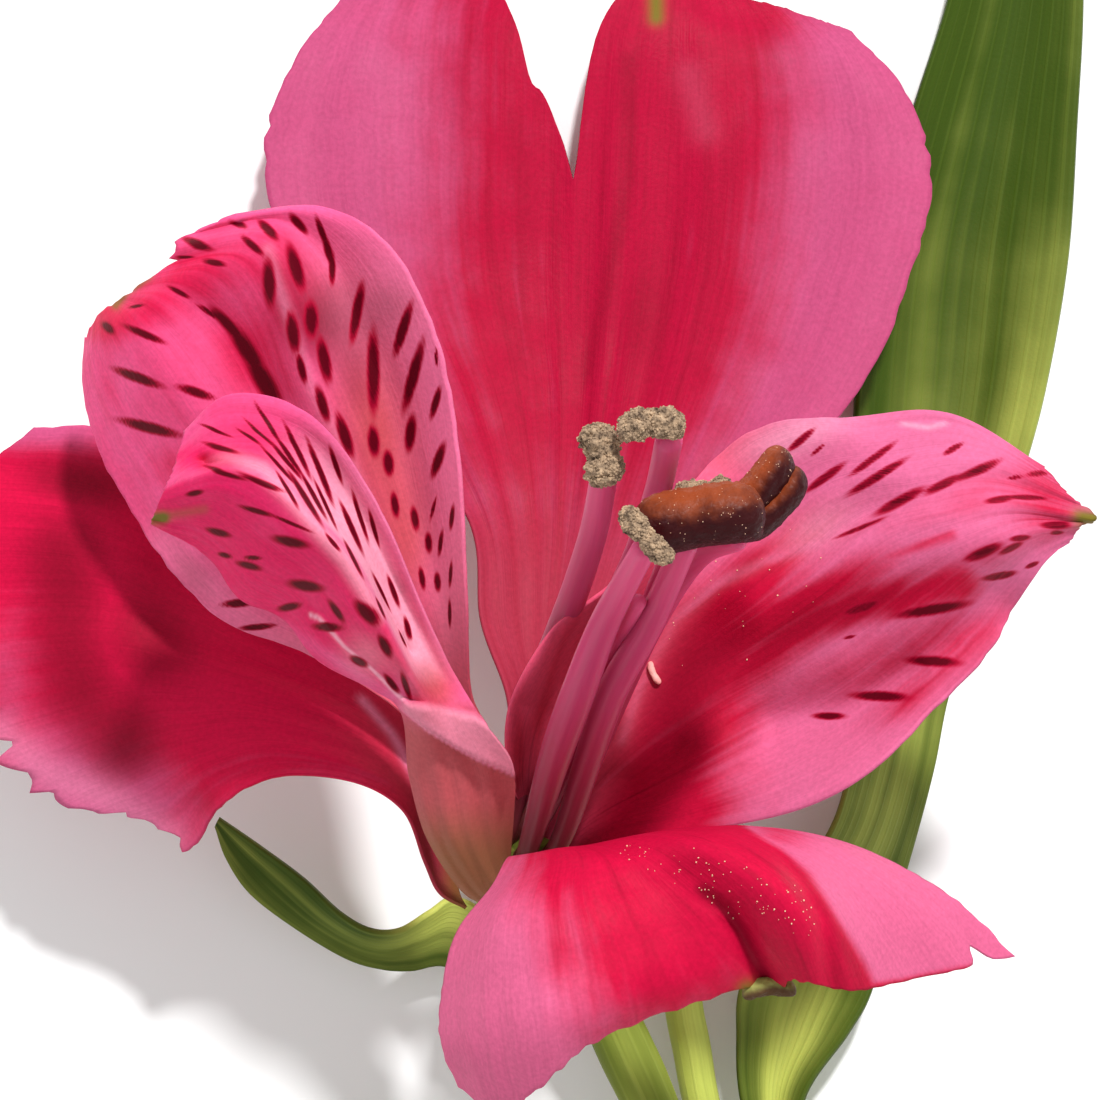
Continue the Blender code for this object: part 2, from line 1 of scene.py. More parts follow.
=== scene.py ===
# %% [markdown]
# # A cut alstroemeria stem
#
# This lesson dresses a measured model of one cut flower stem: an open bloom that faces
# up, a closed bud beside it, and the stalk with its leaves, laid on a pale floor. The
# model gives every piece its place. Here each piece is made again in a finer mesh, and
# each surface gets the colours, veins and flecks that the real one has.

# %% Loading the measured model
import math
from types import SimpleNamespace

import bpy
import numpy as np
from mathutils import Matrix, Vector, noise


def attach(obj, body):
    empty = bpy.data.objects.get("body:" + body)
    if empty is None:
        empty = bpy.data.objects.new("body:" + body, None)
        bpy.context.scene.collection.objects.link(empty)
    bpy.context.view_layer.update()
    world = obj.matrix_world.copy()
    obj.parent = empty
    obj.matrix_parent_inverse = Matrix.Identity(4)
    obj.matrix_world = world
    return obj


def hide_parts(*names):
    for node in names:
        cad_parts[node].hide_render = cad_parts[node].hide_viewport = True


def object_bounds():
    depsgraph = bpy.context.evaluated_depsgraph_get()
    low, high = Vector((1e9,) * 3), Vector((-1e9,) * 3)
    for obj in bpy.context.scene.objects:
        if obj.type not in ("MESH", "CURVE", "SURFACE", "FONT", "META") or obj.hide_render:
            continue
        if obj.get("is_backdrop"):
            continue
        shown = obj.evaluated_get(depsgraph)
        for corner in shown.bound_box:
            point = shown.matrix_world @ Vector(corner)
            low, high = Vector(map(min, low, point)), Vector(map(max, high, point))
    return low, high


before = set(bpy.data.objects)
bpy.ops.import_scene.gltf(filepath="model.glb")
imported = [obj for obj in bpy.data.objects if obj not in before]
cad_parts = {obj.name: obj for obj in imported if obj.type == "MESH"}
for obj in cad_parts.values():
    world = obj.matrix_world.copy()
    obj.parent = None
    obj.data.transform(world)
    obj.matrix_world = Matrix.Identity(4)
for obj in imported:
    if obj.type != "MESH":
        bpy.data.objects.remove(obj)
cad_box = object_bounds()
print("nodes in the model:", len(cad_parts))
print("its box in millimetres:", [[round(c * 1000, 1) for c in corner] for corner in cad_box])

# %% [markdown]
# ## Floor, light and camera
#
# The bloom is looked at from straight above, as it faces us when the stem lies down. A
# small bright sun gives the soft-edged shadows that one petal throws on the next, and a
# white world fills them. A lens of long focal length keeps the bloom nearly flat in
# perspective, as in a close-up taken from some way off.

# %% The stage
MM = 0.001
SHEET_WIDTH = 66.0
EYE_ABOVE_SHEET = 400.0
SHEET_HEIGHT = 25.0
FILM_WIDTH = 36.0
MIDDLE = (10.9, -66.7)
FLOOR_SIZE = 3
FLOOR_BELOW = 0.0002
FLOOR_TONE = 0.96
SKY_STRENGTH = 0.72
SUN_STRENGTH = 3.3
SUN_TURN = (-37, 13, 0)
SUN_SPREAD = 5


def select_only(*pieces):
    """Selects these pieces and nothing else. The last one becomes the active one."""
    bpy.ops.object.select_all(action="DESELECT")
    for piece in pieces:
        piece.select_set(True)
        bpy.context.view_layer.objects.active = piece


select_only()
bpy.ops.mesh.primitive_plane_add(size=FLOOR_SIZE, location=(0, 0, -FLOOR_BELOW))
floor = bpy.context.object
floor.name = "floor"
floor_paint = bpy.data.materials.new("floor_paint")
floor_paint.use_nodes = True
floor_shader = floor_paint.node_tree.nodes["Principled BSDF"]
floor_shader.inputs["Base Color"].default_value = (FLOOR_TONE, FLOOR_TONE, FLOOR_TONE, 1)
floor_shader.inputs["Roughness"].default_value = 0.9
floor.data.materials.append(floor_paint)
floor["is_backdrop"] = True

world = bpy.data.worlds.new("studio")
bpy.context.scene.world = world
world.use_nodes = True
world.node_tree.nodes["Background"].inputs["Color"].default_value = (1, 1, 1, 1)
world.node_tree.nodes["Background"].inputs["Strength"].default_value = SKY_STRENGTH

bpy.ops.object.light_add(type="SUN", rotation=[math.radians(angle) for angle in SUN_TURN])
bpy.context.object.data.energy = SUN_STRENGTH
bpy.context.object.data.angle = math.radians(SUN_SPREAD)

eye = (-MIDDLE[0] * MM, -MIDDLE[1] * MM, (EYE_ABOVE_SHEET + SHEET_HEIGHT) * MM)
bpy.ops.object.camera_add(location=eye, rotation=(0, 0, 0))
camera = bpy.context.object
camera.data.sensor_width = FILM_WIDTH
camera.data.lens = FILM_WIDTH * EYE_ABOVE_SHEET / SHEET_WIDTH
camera.data.clip_start = 0.01
bpy.context.scene.camera = camera
bpy.context.scene.view_settings.view_transform = "Standard"
print("camera at", [round(c, 3) for c in eye], "lens", round(camera.data.lens, 1))

# %% [markdown]
# ## The drawing sheet
#
# Petals are free shapes, so each was drawn first: lines run from its claw to its far
# margin on a sheet seen from above. A drawn point is (across, down, height): two counts
# of sheet steps from the sheet's top left corner, and the height above the floor in
# millimetres. The sheet lies at the height of the petals, and what is nearer to the eye
# is drawn larger, so a point's real place follows from its height.

# %% From the sheet to real places, and back
SHEET_STEPS = 1100
STEP = SHEET_WIDTH / SHEET_STEPS


def nearness(height):
    """How far apart two places are that look one millimetre apart on the sheet."""
    return 1 - (height - SHEET_HEIGHT) / EYE_ABOVE_SHEET


def settled(x, y, z):
    """Places, in metres, of points given in millimetres from the sheet's middle."""
    return np.stack([x - MIDDLE[0], y - MIDDLE[1], z], axis=-1) * MM


def placed(points):
    """Real places, in metres, of drawn points."""
    across, down, height = np.moveaxis(np.asarray(points, float), -1, 0)
    x = (across - SHEET_STEPS / 2) * STEP * nearness(height)
    y = (SHEET_STEPS / 2 - down) * STEP * nearness(height)
    return settled(x, y, height)


def drawn(points):
    """Across and down on the sheet, of real places."""
    x, y, height = np.moveaxis(np.asarray(points) / MM, -1, 0)
    across = (x + MIDDLE[0]) / nearness(height) / STEP + SHEET_STEPS / 2
    down = SHEET_STEPS / 2 - (y + MIDDLE[1]) / nearness(height) / STEP
    return across, down


def smooth(values, t):
    """Smooth curve through evenly spaced values, at each t from 0 to 1."""
    values = np.asarray(values, float)
    ends = np.concatenate([2 * values[:1] - values[1:2], values, 2 * values[-1:] - values[-2:-1]])
    spans = len(values) - 1
    place = np.clip(t, 0, 1) * spans
    index = np.minimum(place.astype(int), spans - 1)
    along = place - index
    if values.ndim > 1:
        along = along[:, None]
    picked = (np.arange(len(index)),) if values.ndim == 3 else ()
    before, here, after, beyond = (ends[(index + step, *picked)] for step in range(4))
    bend = 2 * before - 5 * here + 4 * after - beyond
    twist = 3 * here - before - 3 * after + beyond
    return here + (after - before) / 2 * along + bend / 2 * along ** 2 + twist / 2 * along ** 3


def surface(lines, u, v):
    """Real places on the surface through a piece's drawn lines, u from -1 to 1, v from 0 to 1."""
    paths = np.array([smooth(placed(line), v) for line in lines.values()])
    return smooth(paths, (u + 1) / 2)


print("one step of the sheet is", STEP, "mm")

# %% [markdown]
# ## A sheet of small squares
#
# Every thin piece starts as the same thing: a flat grid from Blender's Add menu, with a
# UV map that counts from 0 to 1 across and along it. Its points are then moved to the
# drawn surface, so the UV map follows the petal, and patterns laid on it run lengthwise
# as real veins do. The Solidify modifier gives it two faces, and the second face takes
# the second material, because a petal's outside differs from its inside.

# %% Making, laying and thickening a sheet
def sheet(name, columns, rows):
    """A flat grid with its points' u, from -1 to 1, and v, from 0 to 1."""
    select_only()
    bpy.ops.mesh.primitive_grid_add(x_subdivisions=columns, y_subdivisions=rows, size=2, calc_uvs=True)
    piece = bpy.context.object
    piece.name = name
    piece.data.name = name
    flat = np.empty(len(piece.data.vertices) * 3)
    piece.data.vertices.foreach_get("co", flat)
    flat = flat.reshape(-1, 3)
    return piece, flat[:, 0], (flat[:, 1] + 1) / 2


def lay(piece, points):
    """Moves a piece's points to these places, with its faces towards the light."""
    piece.data.vertices.foreach_set("co", points.ravel())
    piece.data.update()
    facing = sum(face.normal.z * face.area for face in piece.data.polygons)
    if facing < 0:
        piece.data.flip_normals()


def mark(piece, **marks):
    """Keeps values for each point, which a material can read by their name."""
    for name, values in marks.items():
        layer = piece.data.attributes.new(name, "FLOAT", "POINT")
        layer.data.foreach_set("value", np.asarray(values, np.float32))


def finish(piece, node, slot, *materials):
    """Smooth shading, materials, and the piece's place in the model."""
    for material in materials:
        piece.data.materials.append(material)
    select_only(piece)
    bpy.ops.object.shade_smooth()
    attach(piece, "root")
    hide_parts(node)


def thicken(piece, thickness, upper, under):
    """Gives a sheet its two faces, each with its own material."""
    piece.data.materials.append(upper)
    piece.data.materials.append(under)
    wall = piece.modifiers.new("thickness", "SOLIDIFY")
    wall.thickness = thickness * MM
    wall.offset = 0
    wall.material_offset = 1
    select_only(piece)
    bpy.ops.object.modifier_apply(modifier=wall.name)


print("a sheet can now be made, laid, marked, thickened and finished")


# %% [markdown]
# ## Soft changes and brush strokes
#
# Folds and colours on a petal have no sharp borders, so a few soft curves shape them all.
# They are put on as with a brush: a stroke is a line on the sheet with a width, or a few
# soft spots, and each has a name, so that a fold and its shade can share one stroke.

# %% Soft curves
def soft(value, low, high):
    """0 below low, 1 above high, and a soft change between."""
    share = np.clip((value - low) / (high - low), 0, 1)
    return share * share * (3 - 2 * share)


def fade(value, low, high):
    """1 below low, 0 above high, and a soft change between."""
    return 1 - soft(value, low, high)


def hump(value, middle, width):
    """1 at the middle, falling softly to 0 at about twice the width from it."""
    return np.exp(-((value - middle) / width) ** 2)


def most(*values):
    """The largest of some values, point by point."""
    return np.maximum.reduce(values)


def wobble(t, count, seed):
    """An uneven line between 0 and 1 that changes about count times as t goes from 0 to 1."""
    heights = np.random.default_rng(seed).random(count + 2)
    return np.interp(np.clip(t, 0, 1) * count, np.arange(count + 2), heights)


def waves(at, across, along, seed):
    """Soft lengthwise waves, roughly between -1 and 1."""
    return np.array([noise.noise((u * across, v * along, seed)) * 2 for u, v in zip(at.u, at.v)])


print("a soft change from 0 to 10 is, at 5,", soft(5, 0, 10))


# %% Brush strokes on the sheet
def near_line(across, down, path, width):
    """1 on a line drawn on the sheet, falling softly to 0 at about twice the width from it."""
    away = np.full(len(across), np.inf)
    for (x1, y1), (x2, y2) in zip(path, path[1:]):
        run_x, run_y = x2 - x1, y2 - y1
        share = ((across - x1) * run_x + (down - y1) * run_y) / (run_x ** 2 + run_y ** 2)
        share = np.clip(share, 0, 1)
        away = np.minimum(away, np.hypot(across - x1 - share * run_x, down - y1 - share * run_y))
    return hump(away, 0, width)


def spots(across, down, places):
    """Soft spots, from 0 to 1. A place is (across, down, half width, half length, turn, strength)."""
    clear = np.ones_like(across)
    for x, y, wide, long, turn, strength in places:
        angle = math.radians(turn)
        right = (across - x) * math.cos(angle) + (down - y) * math.sin(angle)
        below = (down - y) * math.cos(angle) - (across - x) * math.sin(angle)
        clear = clear * (1 - strength * np.exp(-(right / wide) ** 2 - (below / long) ** 2))
    return 1 - clear


def across_at(path, down):
    """How far across a drawn line is, at each distance down."""
    return np.interp(down, *np.transpose(path)[::-1])


def down_at(path, across):
    """How far down a drawn line is, at each distance across."""
    return np.interp(across, *np.transpose(path))


def brushed(u, v, points, brush):
    """All that is known at a petal's points: u, v, across, down, and the strength of each stroke."""
    across, down = drawn(points)
    at = SimpleNamespace(u=u, v=v, across=across, down=down)
    for name, stroke in brush.items():
        is_line = isinstance(stroke, tuple)
        strength = near_line(across, down, *stroke) if is_line else spots(across, down, stroke)
        setattr(at, name, strength)
    return at


print("a stroke 10 steps wide is, 20 steps away,", round(float(hump(20, 0, 10)), 3))

# %% [markdown]
# ## Node helpers
#
# Materials are trees of small nodes. These helpers put one node in a tree and plug
# values or other nodes into it, so that each material below reads as a short recipe.

# %% Putting nodes in a tree
def plug(tree, socket, source):
    """Sets an input to a value, or links another node's output to it."""
    if isinstance(source, bpy.types.NodeSocket):
        tree.links.new(source, socket)
    else:
        socket.default_value = source


def put(tree, kind, inputs=(), **settings):
    """Adds a node with these settings, and fills its inputs by name or number."""
    node = tree.nodes.new(kind)
    for name, value in settings.items():
        setattr(node, name, value)
    for name, source in dict(inputs).items():
        plug(tree, node.inputs[name], source)
    return node


def maths(tree, operation, first, second=0.0):
    """One sum on one or two numbers."""
    return put(tree, "ShaderNodeMath", {0: first, 1: second}, operation=operation).outputs[0]


def times(tree, first, second):
    """The product of two numbers."""
    return maths(tree, "MULTIPLY", first, second)


def added(tree, *terms):
    """The sum of some numbers. A pair stands for its product."""
    numbers = [times(tree, *term) if isinstance(term, tuple) else term for term in terms]
    total = numbers[0]
    for number in numbers[1:]:
        total = maths(tree, "ADD", total, number)
    return total


def ramp(tree, value, low, high, start=0.0, end=1.0):
    """Start where the value is under low, end where it is over high, and a soft change between."""
    values = {0: value, 1: low, 2: high, 3: start, 4: end}
    return put(tree, "ShaderNodeMapRange", values, interpolation_type="SMOOTHSTEP").outputs[0]


def mixed(tree, share, first, second, blend="MIX"):
    """Two colours mixed by a share from 0 to 1."""
    node = put(tree, "ShaderNodeMix", {0: share, 6: first, 7: second}, data_type="RGBA", blend_type=blend)
    return node.outputs[2]


def dimmed(tree, body, factor):
    """A colour made darker or lighter by a factor."""
    grey = put(tree, "ShaderNodeCombineXYZ", {0: factor, 1: factor, 2: factor}).outputs[0]
    return mixed(tree, 1.0, body, grey, "MULTIPLY")


def marked(tree, name):
    """The value that mark() kept under this name."""
    return put(tree, "ShaderNodeAttribute", attribute_name=name).outputs["Fac"]


def grain(tree, scale, detail=2.0, roughness=0.5, vector=None):
    """Cloudy noise between -0.5 and 0.5, in the piece's own space or along a given vector."""
    vector = vector or put(tree, "ShaderNodeTexCoord").outputs["Object"]
    values = {"Vector": vector, "Scale": scale, "Detail": detail, "Roughness": roughness}
    return maths(tree, "SUBTRACT", put(tree, "ShaderNodeTexNoise", values).outputs[0], 0.5)


def colour(red, green, blue):
    """A colour by its screen values from 0 to 255, in the linear values that nodes take."""
    shares = [value / 255 for value in (red, green, blue)]
    return (*[((share + 0.055) / 1.055) ** 2.4 if share > 0.04 else share / 12.92 for share in shares], 1)


print("a mid pink in linear values is", [round(c, 2) for c in colour(206, 92, 132)])

# %% Beginning and ending a material
def new_material(name):
    """An empty material and its tree."""
    material = bpy.data.materials.new(name)
    material.use_nodes = True
    return material, material.node_tree


def coat(tree, body, roughness, height, strength, depth, shine):
    """Gives the material's shader its colour, roughness, small relief and shine."""
    shader = tree.nodes["Principled BSDF"]
    plug(tree, shader.inputs["Base Color"], body)
    plug(tree, shader.inputs["Roughness"], roughness)
    bump = put(tree, "ShaderNodeBump", {"Height": height, "Strength": strength, "Distance": depth})
    plug(tree, shader.inputs["Normal"], bump.outputs[0])
    shader.inputs["Specular IOR Level"].default_value = shine
    return shader


print("a material can now be begun, painted and given its coat")

# %% [markdown]
# ## Lengthwise streaks
#
# Petals, filaments, leaves and stalks all have fine lines that run from foot to tip. One
# node group makes them for every plant surface here: cloudy noise read from the UV map,
# squeezed across the piece and stretched along it. Coarse streaks vary the colour, and
# fine ones stand up as veins.

# %% The streaks group
streaks = bpy.data.node_groups.new("lengthwise_streaks", "ShaderNodeTree")
for socket in ("Across", "Along", "Seed"):
    streaks.interface.new_socket(socket, in_out="INPUT", socket_type="NodeSocketFloat")
streaks.interface.new_socket("Streak", in_out="OUTPUT", socket_type="NodeSocketFloat")
entry = streaks.nodes.new("NodeGroupInput").outputs
leave = streaks.nodes.new("NodeGroupOutput").inputs
stretch = put(streaks, "ShaderNodeCombineXYZ", {0: entry["Across"], 1: entry["Along"]}).outputs[0]
uv = put(streaks, "ShaderNodeUVMap", uv_map="UVMap").outputs[0]
laid = put(streaks, "ShaderNodeVectorMath", {0: uv, 1: stretch}, operation="MULTIPLY").outputs[0]
apart = put(streaks, "ShaderNodeCombineXYZ", {2: entry["Seed"]}).outputs[0]
moved = put(streaks, "ShaderNodeVectorMath", {0: laid, 1: apart}, operation="ADD").outputs[0]
plug(streaks, leave["Streak"], grain(streaks, 1.0, 2.0, 0.55, moved))


def streak(tree, across, along, seed):
    """Streaks between -0.5 and 0.5, with this many across the piece and this many changes along it."""
    values = {"Across": across, "Along": along, "Seed": seed}
    return put(tree, "ShaderNodeGroup", node_tree=streaks, inputs=values).outputs["Streak"]


print("streaks group ready, with inputs", [item.name for item in streaks.interface.items_tree])

# %% [markdown]
# ## Petal paint
#
# A tepal is pink towards its margin and crimson along its middle, in streaks. Its claw,
# the narrow foot, is coral, and its tip green or brown. Which colour goes where is kept
# as marks on the mesh, one soft value for each point, and the material mixes the colours
# by those marks. The flecks are marks too: their value rises from below 0 outside a
# fleck to 1 at its core, so noise added to it frays the fleck's edge along the veins.
# Several marks also carry painted light: shade paints shadows and shaded parts, pale paints a few
# highlights, and deep and claw lay painted shade or painted light in a few places.

# %% The paint recipe for petals
MAROON = (128, 6, 34)
LEAF_TIP = (112, 100, 34)
FLECK_HALO = (166, 8, 48)
FLECK_CORE = (88, 2, 20)
BACK_HALO = (172, 34, 66)
BACK_CORE = (120, 20, 44)


def petal_paint(name, edge, deep, claw, pale, streaky, halo=FLECK_HALO, core=FLECK_CORE, fleck_share=1.0):
    """A petal's material. It reads the marks deep, shade, claw, pale, tip and fleck."""
    material, tree = new_material(name)
    broad = times(tree, streak(tree, 12, 1.2, 1), streaky)
    coarse = times(tree, streak(tree, 38, 2.5, 3), streaky)
    fine = streak(tree, 170, 7, 8)
    cloud = grain(tree, 260, 3)
    cells = grain(tree, 3600, 2)
    deep_mark = marked(tree, "deep")
    uneven = added(tree, (broad, 1.3), (coarse, 1.1))
    strength = added(tree, deep_mark, (uneven, deep_mark), (cloud, 0.45))
    body = mixed(tree, ramp(tree, strength, 0.0, 0.85), colour(*edge), colour(*deep))
    body = mixed(tree, marked(tree, "claw"), body, colour(*claw))
    # Darker streaks in the crimson, then the shade mark: painted shade and painted shadow on most tepals,
    # and dark streaks on the top one.
    darker = times(tree, ramp(tree, coarse, 0.0, 0.25), times(tree, deep_mark, 0.5))
    shade_mark = marked(tree, "shade")
    shaded = times(tree, shade_mark, ramp(tree, added(tree, coarse, shade_mark), -0.1, 0.6))
    body = mixed(tree, maths(tree, "MAXIMUM", darker, shaded), body, colour(*MAROON))
    # The pale mark: pale tissue, and in a few places a painted highlight.
    body = mixed(tree, marked(tree, "pale"), body, colour(*pale))
    lined = times(tree, ramp(tree, fine, -0.3, 0.3, 0.93, 1.05), ramp(tree, cells, -0.35, 0.35, 0.9, 1.08))
    body = dimmed(tree, body, lined)
    body = mixed(tree, marked(tree, "tip"), body, colour(*LEAF_TIP))
    frayed = added(tree, marked(tree, "fleck"), (fine, 0.4), (cells, 0.15))
    for low, high, fleck_colour in ((-0.25, 0.25, halo), (0.05, 0.5, core)):
        share = times(tree, ramp(tree, frayed, low, high), fleck_share)
        body = mixed(tree, share, body, colour(*fleck_colour))
    roughness = ramp(tree, cloud, -0.3, 0.3, 0.45, 0.62)
    coat(tree, body, roughness, added(tree, (fine, 0.6), (cells, 0.5), coarse), 0.4, 0.0001, 0.06)
    return material


FACE_COLOURS = {
    "top_tepal": ((180, 72, 114), (166, 8, 50), (162, 50, 70), (206, 118, 150), 0.85),
    "left_tepal": ((190, 78, 122), (200, 12, 62), (170, 56, 72), (232, 134, 170), 0.45),
    "bottom_tepal": ((206, 92, 132), (190, 10, 56), (170, 54, 70), (222, 136, 166), 0.8),
    "upper_left_tepal": ((232, 86, 140), (206, 22, 70), (206, 88, 96), (228, 140, 172), 0.6),
    "front_left_tepal": ((222, 88, 140), (218, 28, 90), (180, 82, 88), (240, 172, 192), 0.35),
    # The right tepal's claw colour is light, as painted light on its wrapped left margin, which lies in
    # shade.
    "right_tepal": ((210, 100, 142), (188, 12, 54), (232, 84, 116), (232, 156, 182), 0.8),
}
faces = {name: petal_paint(name + "_face", *colours) for name, colours in FACE_COLOURS.items()}
back_face = petal_paint("tepal_back", (200, 76, 116), (186, 30, 62), (160, 92, 78), (216, 140, 160), 1.0,
                        BACK_HALO, BACK_CORE, 0.5)
print("petal paints:", len(faces) + 1)

# %% [markdown]
# ## The outer tepals
#
# Three broad tepals stand outside the flecked ones. The top one is heart shaped, with a
# deep notch and a small green point beside it. The left one spreads away, and the bottom
# one bulges towards us and folds down. Their margins are finely toothed, which is done by
# drawing each column of the sheet back a little, by an uneven amount.

# %% A tepal from its drawn lines
PETAL_THICKNESS = 0.22
FAINT = 0.34


def fleck_marks(u, v, points, flecks):
    """Marks that rise to 1 in each fleck. A fleck is (across, down, across, down, width), end to end."""
    across, down = drawn(points)
    field = np.full(len(u), -1.0)
    for x1, y1, x2, y2, width in flecks:
        x, y = (x1 + x2) / 2, (y1 + y2) / 2
        long = math.hypot(x2 - x1, y2 - y1)
        ahead = ((x2 - x1) / long, (y2 - y1) / long)
        reach = np.hypot(across - x, down - y)
        near = np.flatnonzero(reach < max(3.0, reach.min() + 1))
        top = near[np.argmax(points[near, 2])]
        close = (abs(u - u[top]) < 0.3) & (abs(v - v[top]) < 0.25)
        forward = (across - x) * ahead[0] + (down - y) * ahead[1]
        aside = (down - y) * ahead[0] - (across - x) * ahead[1]
        inside = 1 - np.sqrt((forward / long * 2) ** 2 + (aside / width * 2) ** 2)
        field = np.where(close, np.maximum(field, inside), field)
    return field


def tepal(name, node, lines, size, brush, shaped, relief, marks, flecks=(), faint_flecks=()):
    """A tepal: its sheet is shaped, laid with a relief in millimetres, marked by its brush and thickened."""
    piece, u, v = sheet(name, *size)
    points = surface(lines, *shaped(u, v))
    at = brushed(u, v, points, brush)
    points[:, 2] += relief(at) * MM
    lay(piece, points)
    chosen = dict.fromkeys(("deep", "shade", "claw", "pale", "tip"), 0 * u)
    chosen.update(marks(at))
    mark(piece, **{name: np.clip(values, 0, 1) for name, values in chosen.items()})
    faint = np.minimum(fleck_marks(u, v, points, faint_flecks), FAINT)
    mark(piece, fleck=np.maximum(fleck_marks(u, v, points, flecks), faint))
    thicken(piece, PETAL_THICKNESS, faces[name], back_face)
    finish(piece, node, node.split("_tepal")[0] + "_tepal")
    print(name, "has", len(piece.data.polygons), "faces")
    return piece


print("every tepal is", PETAL_THICKNESS, "mm thick")


# %% The top tepal
OUTER_TOP = {
    "left margin": [(490, 828, 15.6), (505, 770, 15.8), (508, 700, 16), (481, 620, 13.6), (469, 520, 11.2),
                    (385, 400, 8.8), (290, 270, 6.8), (263, 155, 5.2), (288, 65, 3.8), (345, -8, 1.7)],
    "left half": [(498, 825, 15.1), (518, 765, 14.6), (530, 705, 14), (520, 625, 12.3), (512, 525, 10.2),
                  (478, 405, 7.8), (432, 275, 5.8), (425, 145, 4.4), (425, 40, 2.8), (440, -26, 0.3)],
    "rib": [(507, 823, 14.9), (533, 762, 14.2), (552, 708, 13.3), (563, 632, 11.6), (580, 530, 9.3),
            (597, 410, 7.2), (608, 280, 5.2), (613, 150, 4.1), (620, 45, 3.4), (632, -14, 2.4)],
    "right half": [(516, 825, 15.1), (550, 765, 14.6), (582, 705, 14), (620, 625, 12.3), (668, 520, 10.2),
                   (730, 400, 8), (778, 268, 6), (790, 140, 4.6), (780, 45, 2.9), (752, 0, 0.3)],
    "right margin": [(525, 828, 15.6), (568, 768, 15.6), (615, 700, 15.8), (672, 612, 13.6),
                     (752, 505, 11.2), (858, 395, 8.8), (921, 255, 6.8), (932, 170, 5.2), (908, 92, 3.8),
                     (850, 30, 1.7)],
}
TOP_BRUSH = {
    "left_streak": ([(628, 60), (630, 170), (606, 290), (585, 380)], 12),
    "middle_streak": ([(516, 120), (524, 190), (520, 290), (522, 360)], 14),
    "right_streak": ([(740, 120), (722, 250), (700, 370)], 16),
    "dark_patch": [(645, 320, 36, 80, 5, 0.5)],
    "haze": ([(690, 75), (705, 130)], 16),
    "point": ([(655, -30), (656, 18)], 8),
}
TOP_CRIMSON_LEFT = [(520, 0), (535, 60), (540, 150), (515, 300), (480, 420), (470, 560)]
TOP_CRIMSON_RIGHT = [(805, 0), (782, 60), (785, 150), (775, 300), (735, 420), (660, 560)]
NOTCH_AT = -0.1
NOTCH_LEFT = 0.25
NOTCH_RIGHT = 0.1
NOTCH_DEPTH = 0.235
NOTCH_CROWDING = 0.5


def heart(u, v):
    """The sheet's u and v on a margin with one deep notch and small teeth."""
    side = np.where(u < NOTCH_AT, 1 + NOTCH_AT, 1 - NOTCH_AT)
    away = u - NOTCH_AT
    crowded = NOTCH_AT + away * (1 - NOTCH_CROWDING * (1 - abs(away) / side))
    away = crowded - NOTCH_AT
    near = np.clip(1 - abs(away) / np.where(away < 0, NOTCH_LEFT, NOTCH_RIGHT), 0, 1)
    stepped = np.where(away < 0, near + 0.1 * hump(near, 0.52, 0.12), near ** 2.5)
    ragged = 0.006 * wobble(crowded / 2 + 0.5, 90, 1) + 0.02 * near * wobble(crowded * 3, 40, 15)
    teeth = 0.02 * wobble(v, 80, 2) * soft(v, 0.4, 0.6)
    return crowded * (1 - teeth), v * (1 - NOTCH_DEPTH * stepped - ragged)


def top_relief(at):
    """Soft lengthwise waves, and a low rib up the middle."""
    return 0.35 * waves(at, 5, 1.6, 4) * soft(at.v, 0.2, 0.5) + 0.5 * hump(at.u, -0.1, 0.12) * at.v


def top_marks(at):
    """A broad crimson band that fans out to the notch, mauve pink margins, a coral claw and a faint painted
    sheen highlight.
    """
    left = across_at(TOP_CRIMSON_LEFT, at.down)
    right = across_at(TOP_CRIMSON_RIGHT, at.down)
    band = soft(at.across, left - 215, left + 60) * fade(at.across, right - 95, right + 85)
    shade = most(0.5 * at.left_streak, 0.35 * at.middle_streak, 0.3 * at.right_streak, at.dark_patch)
    return dict(deep=band * (1 - 0.4 * soft(at.down, 330, 560)), shade=shade,
                claw=0.9 * soft(at.down, 400, 620), pale=0.12 * at.haze, tip=at.point)


tepal("top_tepal", "outer_tepal_top", OUTER_TOP, (150, 150), TOP_BRUSH, heart, top_relief, top_marks)

# %% The left tepal
OUTER_LEFT = {
    "lower margin": [(466, 908, 18.3), (440, 893, 20), (425, 862, 21), (403, 810, 22), (352, 781, 22),
                     (277, 777, 20.5), (222, 806, 18), (188, 852, 14.5), (140, 833, 12.5)],
    "lower half": [(461, 900, 17.7), (437, 876, 19.2), (425, 836, 19.8), (410, 785, 20.3), (350, 750, 20.5),
                   (262, 728, 19.3), (195, 735, 17.5), (135, 755, 15), (30, 803, 11.5)],
    "rib": [(458, 892, 17.4), (438, 862, 18.8), (430, 820, 19), (415, 765, 19), (350, 715, 19.3),
            (258, 680, 18.2), (175, 655, 16.5), (95, 640, 15), (-60, 655, 10.5)],
    "upper half": [(456, 883, 17.2), (440, 848, 18.6), (438, 800, 18.6), (425, 740, 18.4), (360, 670, 18),
                   (262, 612, 16.5), (180, 560, 15), (90, 520, 14), (-52, 505, 11)],
    "upper margin": [(455, 874, 17.1), (445, 832, 18.6), (448, 785, 18.6), (440, 715, 18), (372, 620, 17),
                     (275, 535, 15), (190, 465, 13.5), (110, 428, 13), (35, 427, 11.5)],
}
LEFT_BRUSH = {
    "pink": [(80, 810, 190, 88, 22, 0.97), (40, 430, 190, 26, 0, 0.9), (330, 780, 60, 20, 0, 0.3),
             (5, 650, 40, 70, 0, 0.4)],
    "pale_line": ([(362, 700), (392, 735), (414, 778)], 5),
    "shadows": [(84, 482, 66, 28, 10, 0.9), (150, 560, 60, 40, 40, 0.35), (146, 640, 60, 50, 30, 0.8),
                (205, 800, 26, 22, 30, 0.4)],
    "long_shadow": ([(64, 555), (70, 640), (86, 700), (118, 738)], 50),
    "lit_edge": ([(0, 735), (50, 775), (110, 800), (170, 838)], 20),
}


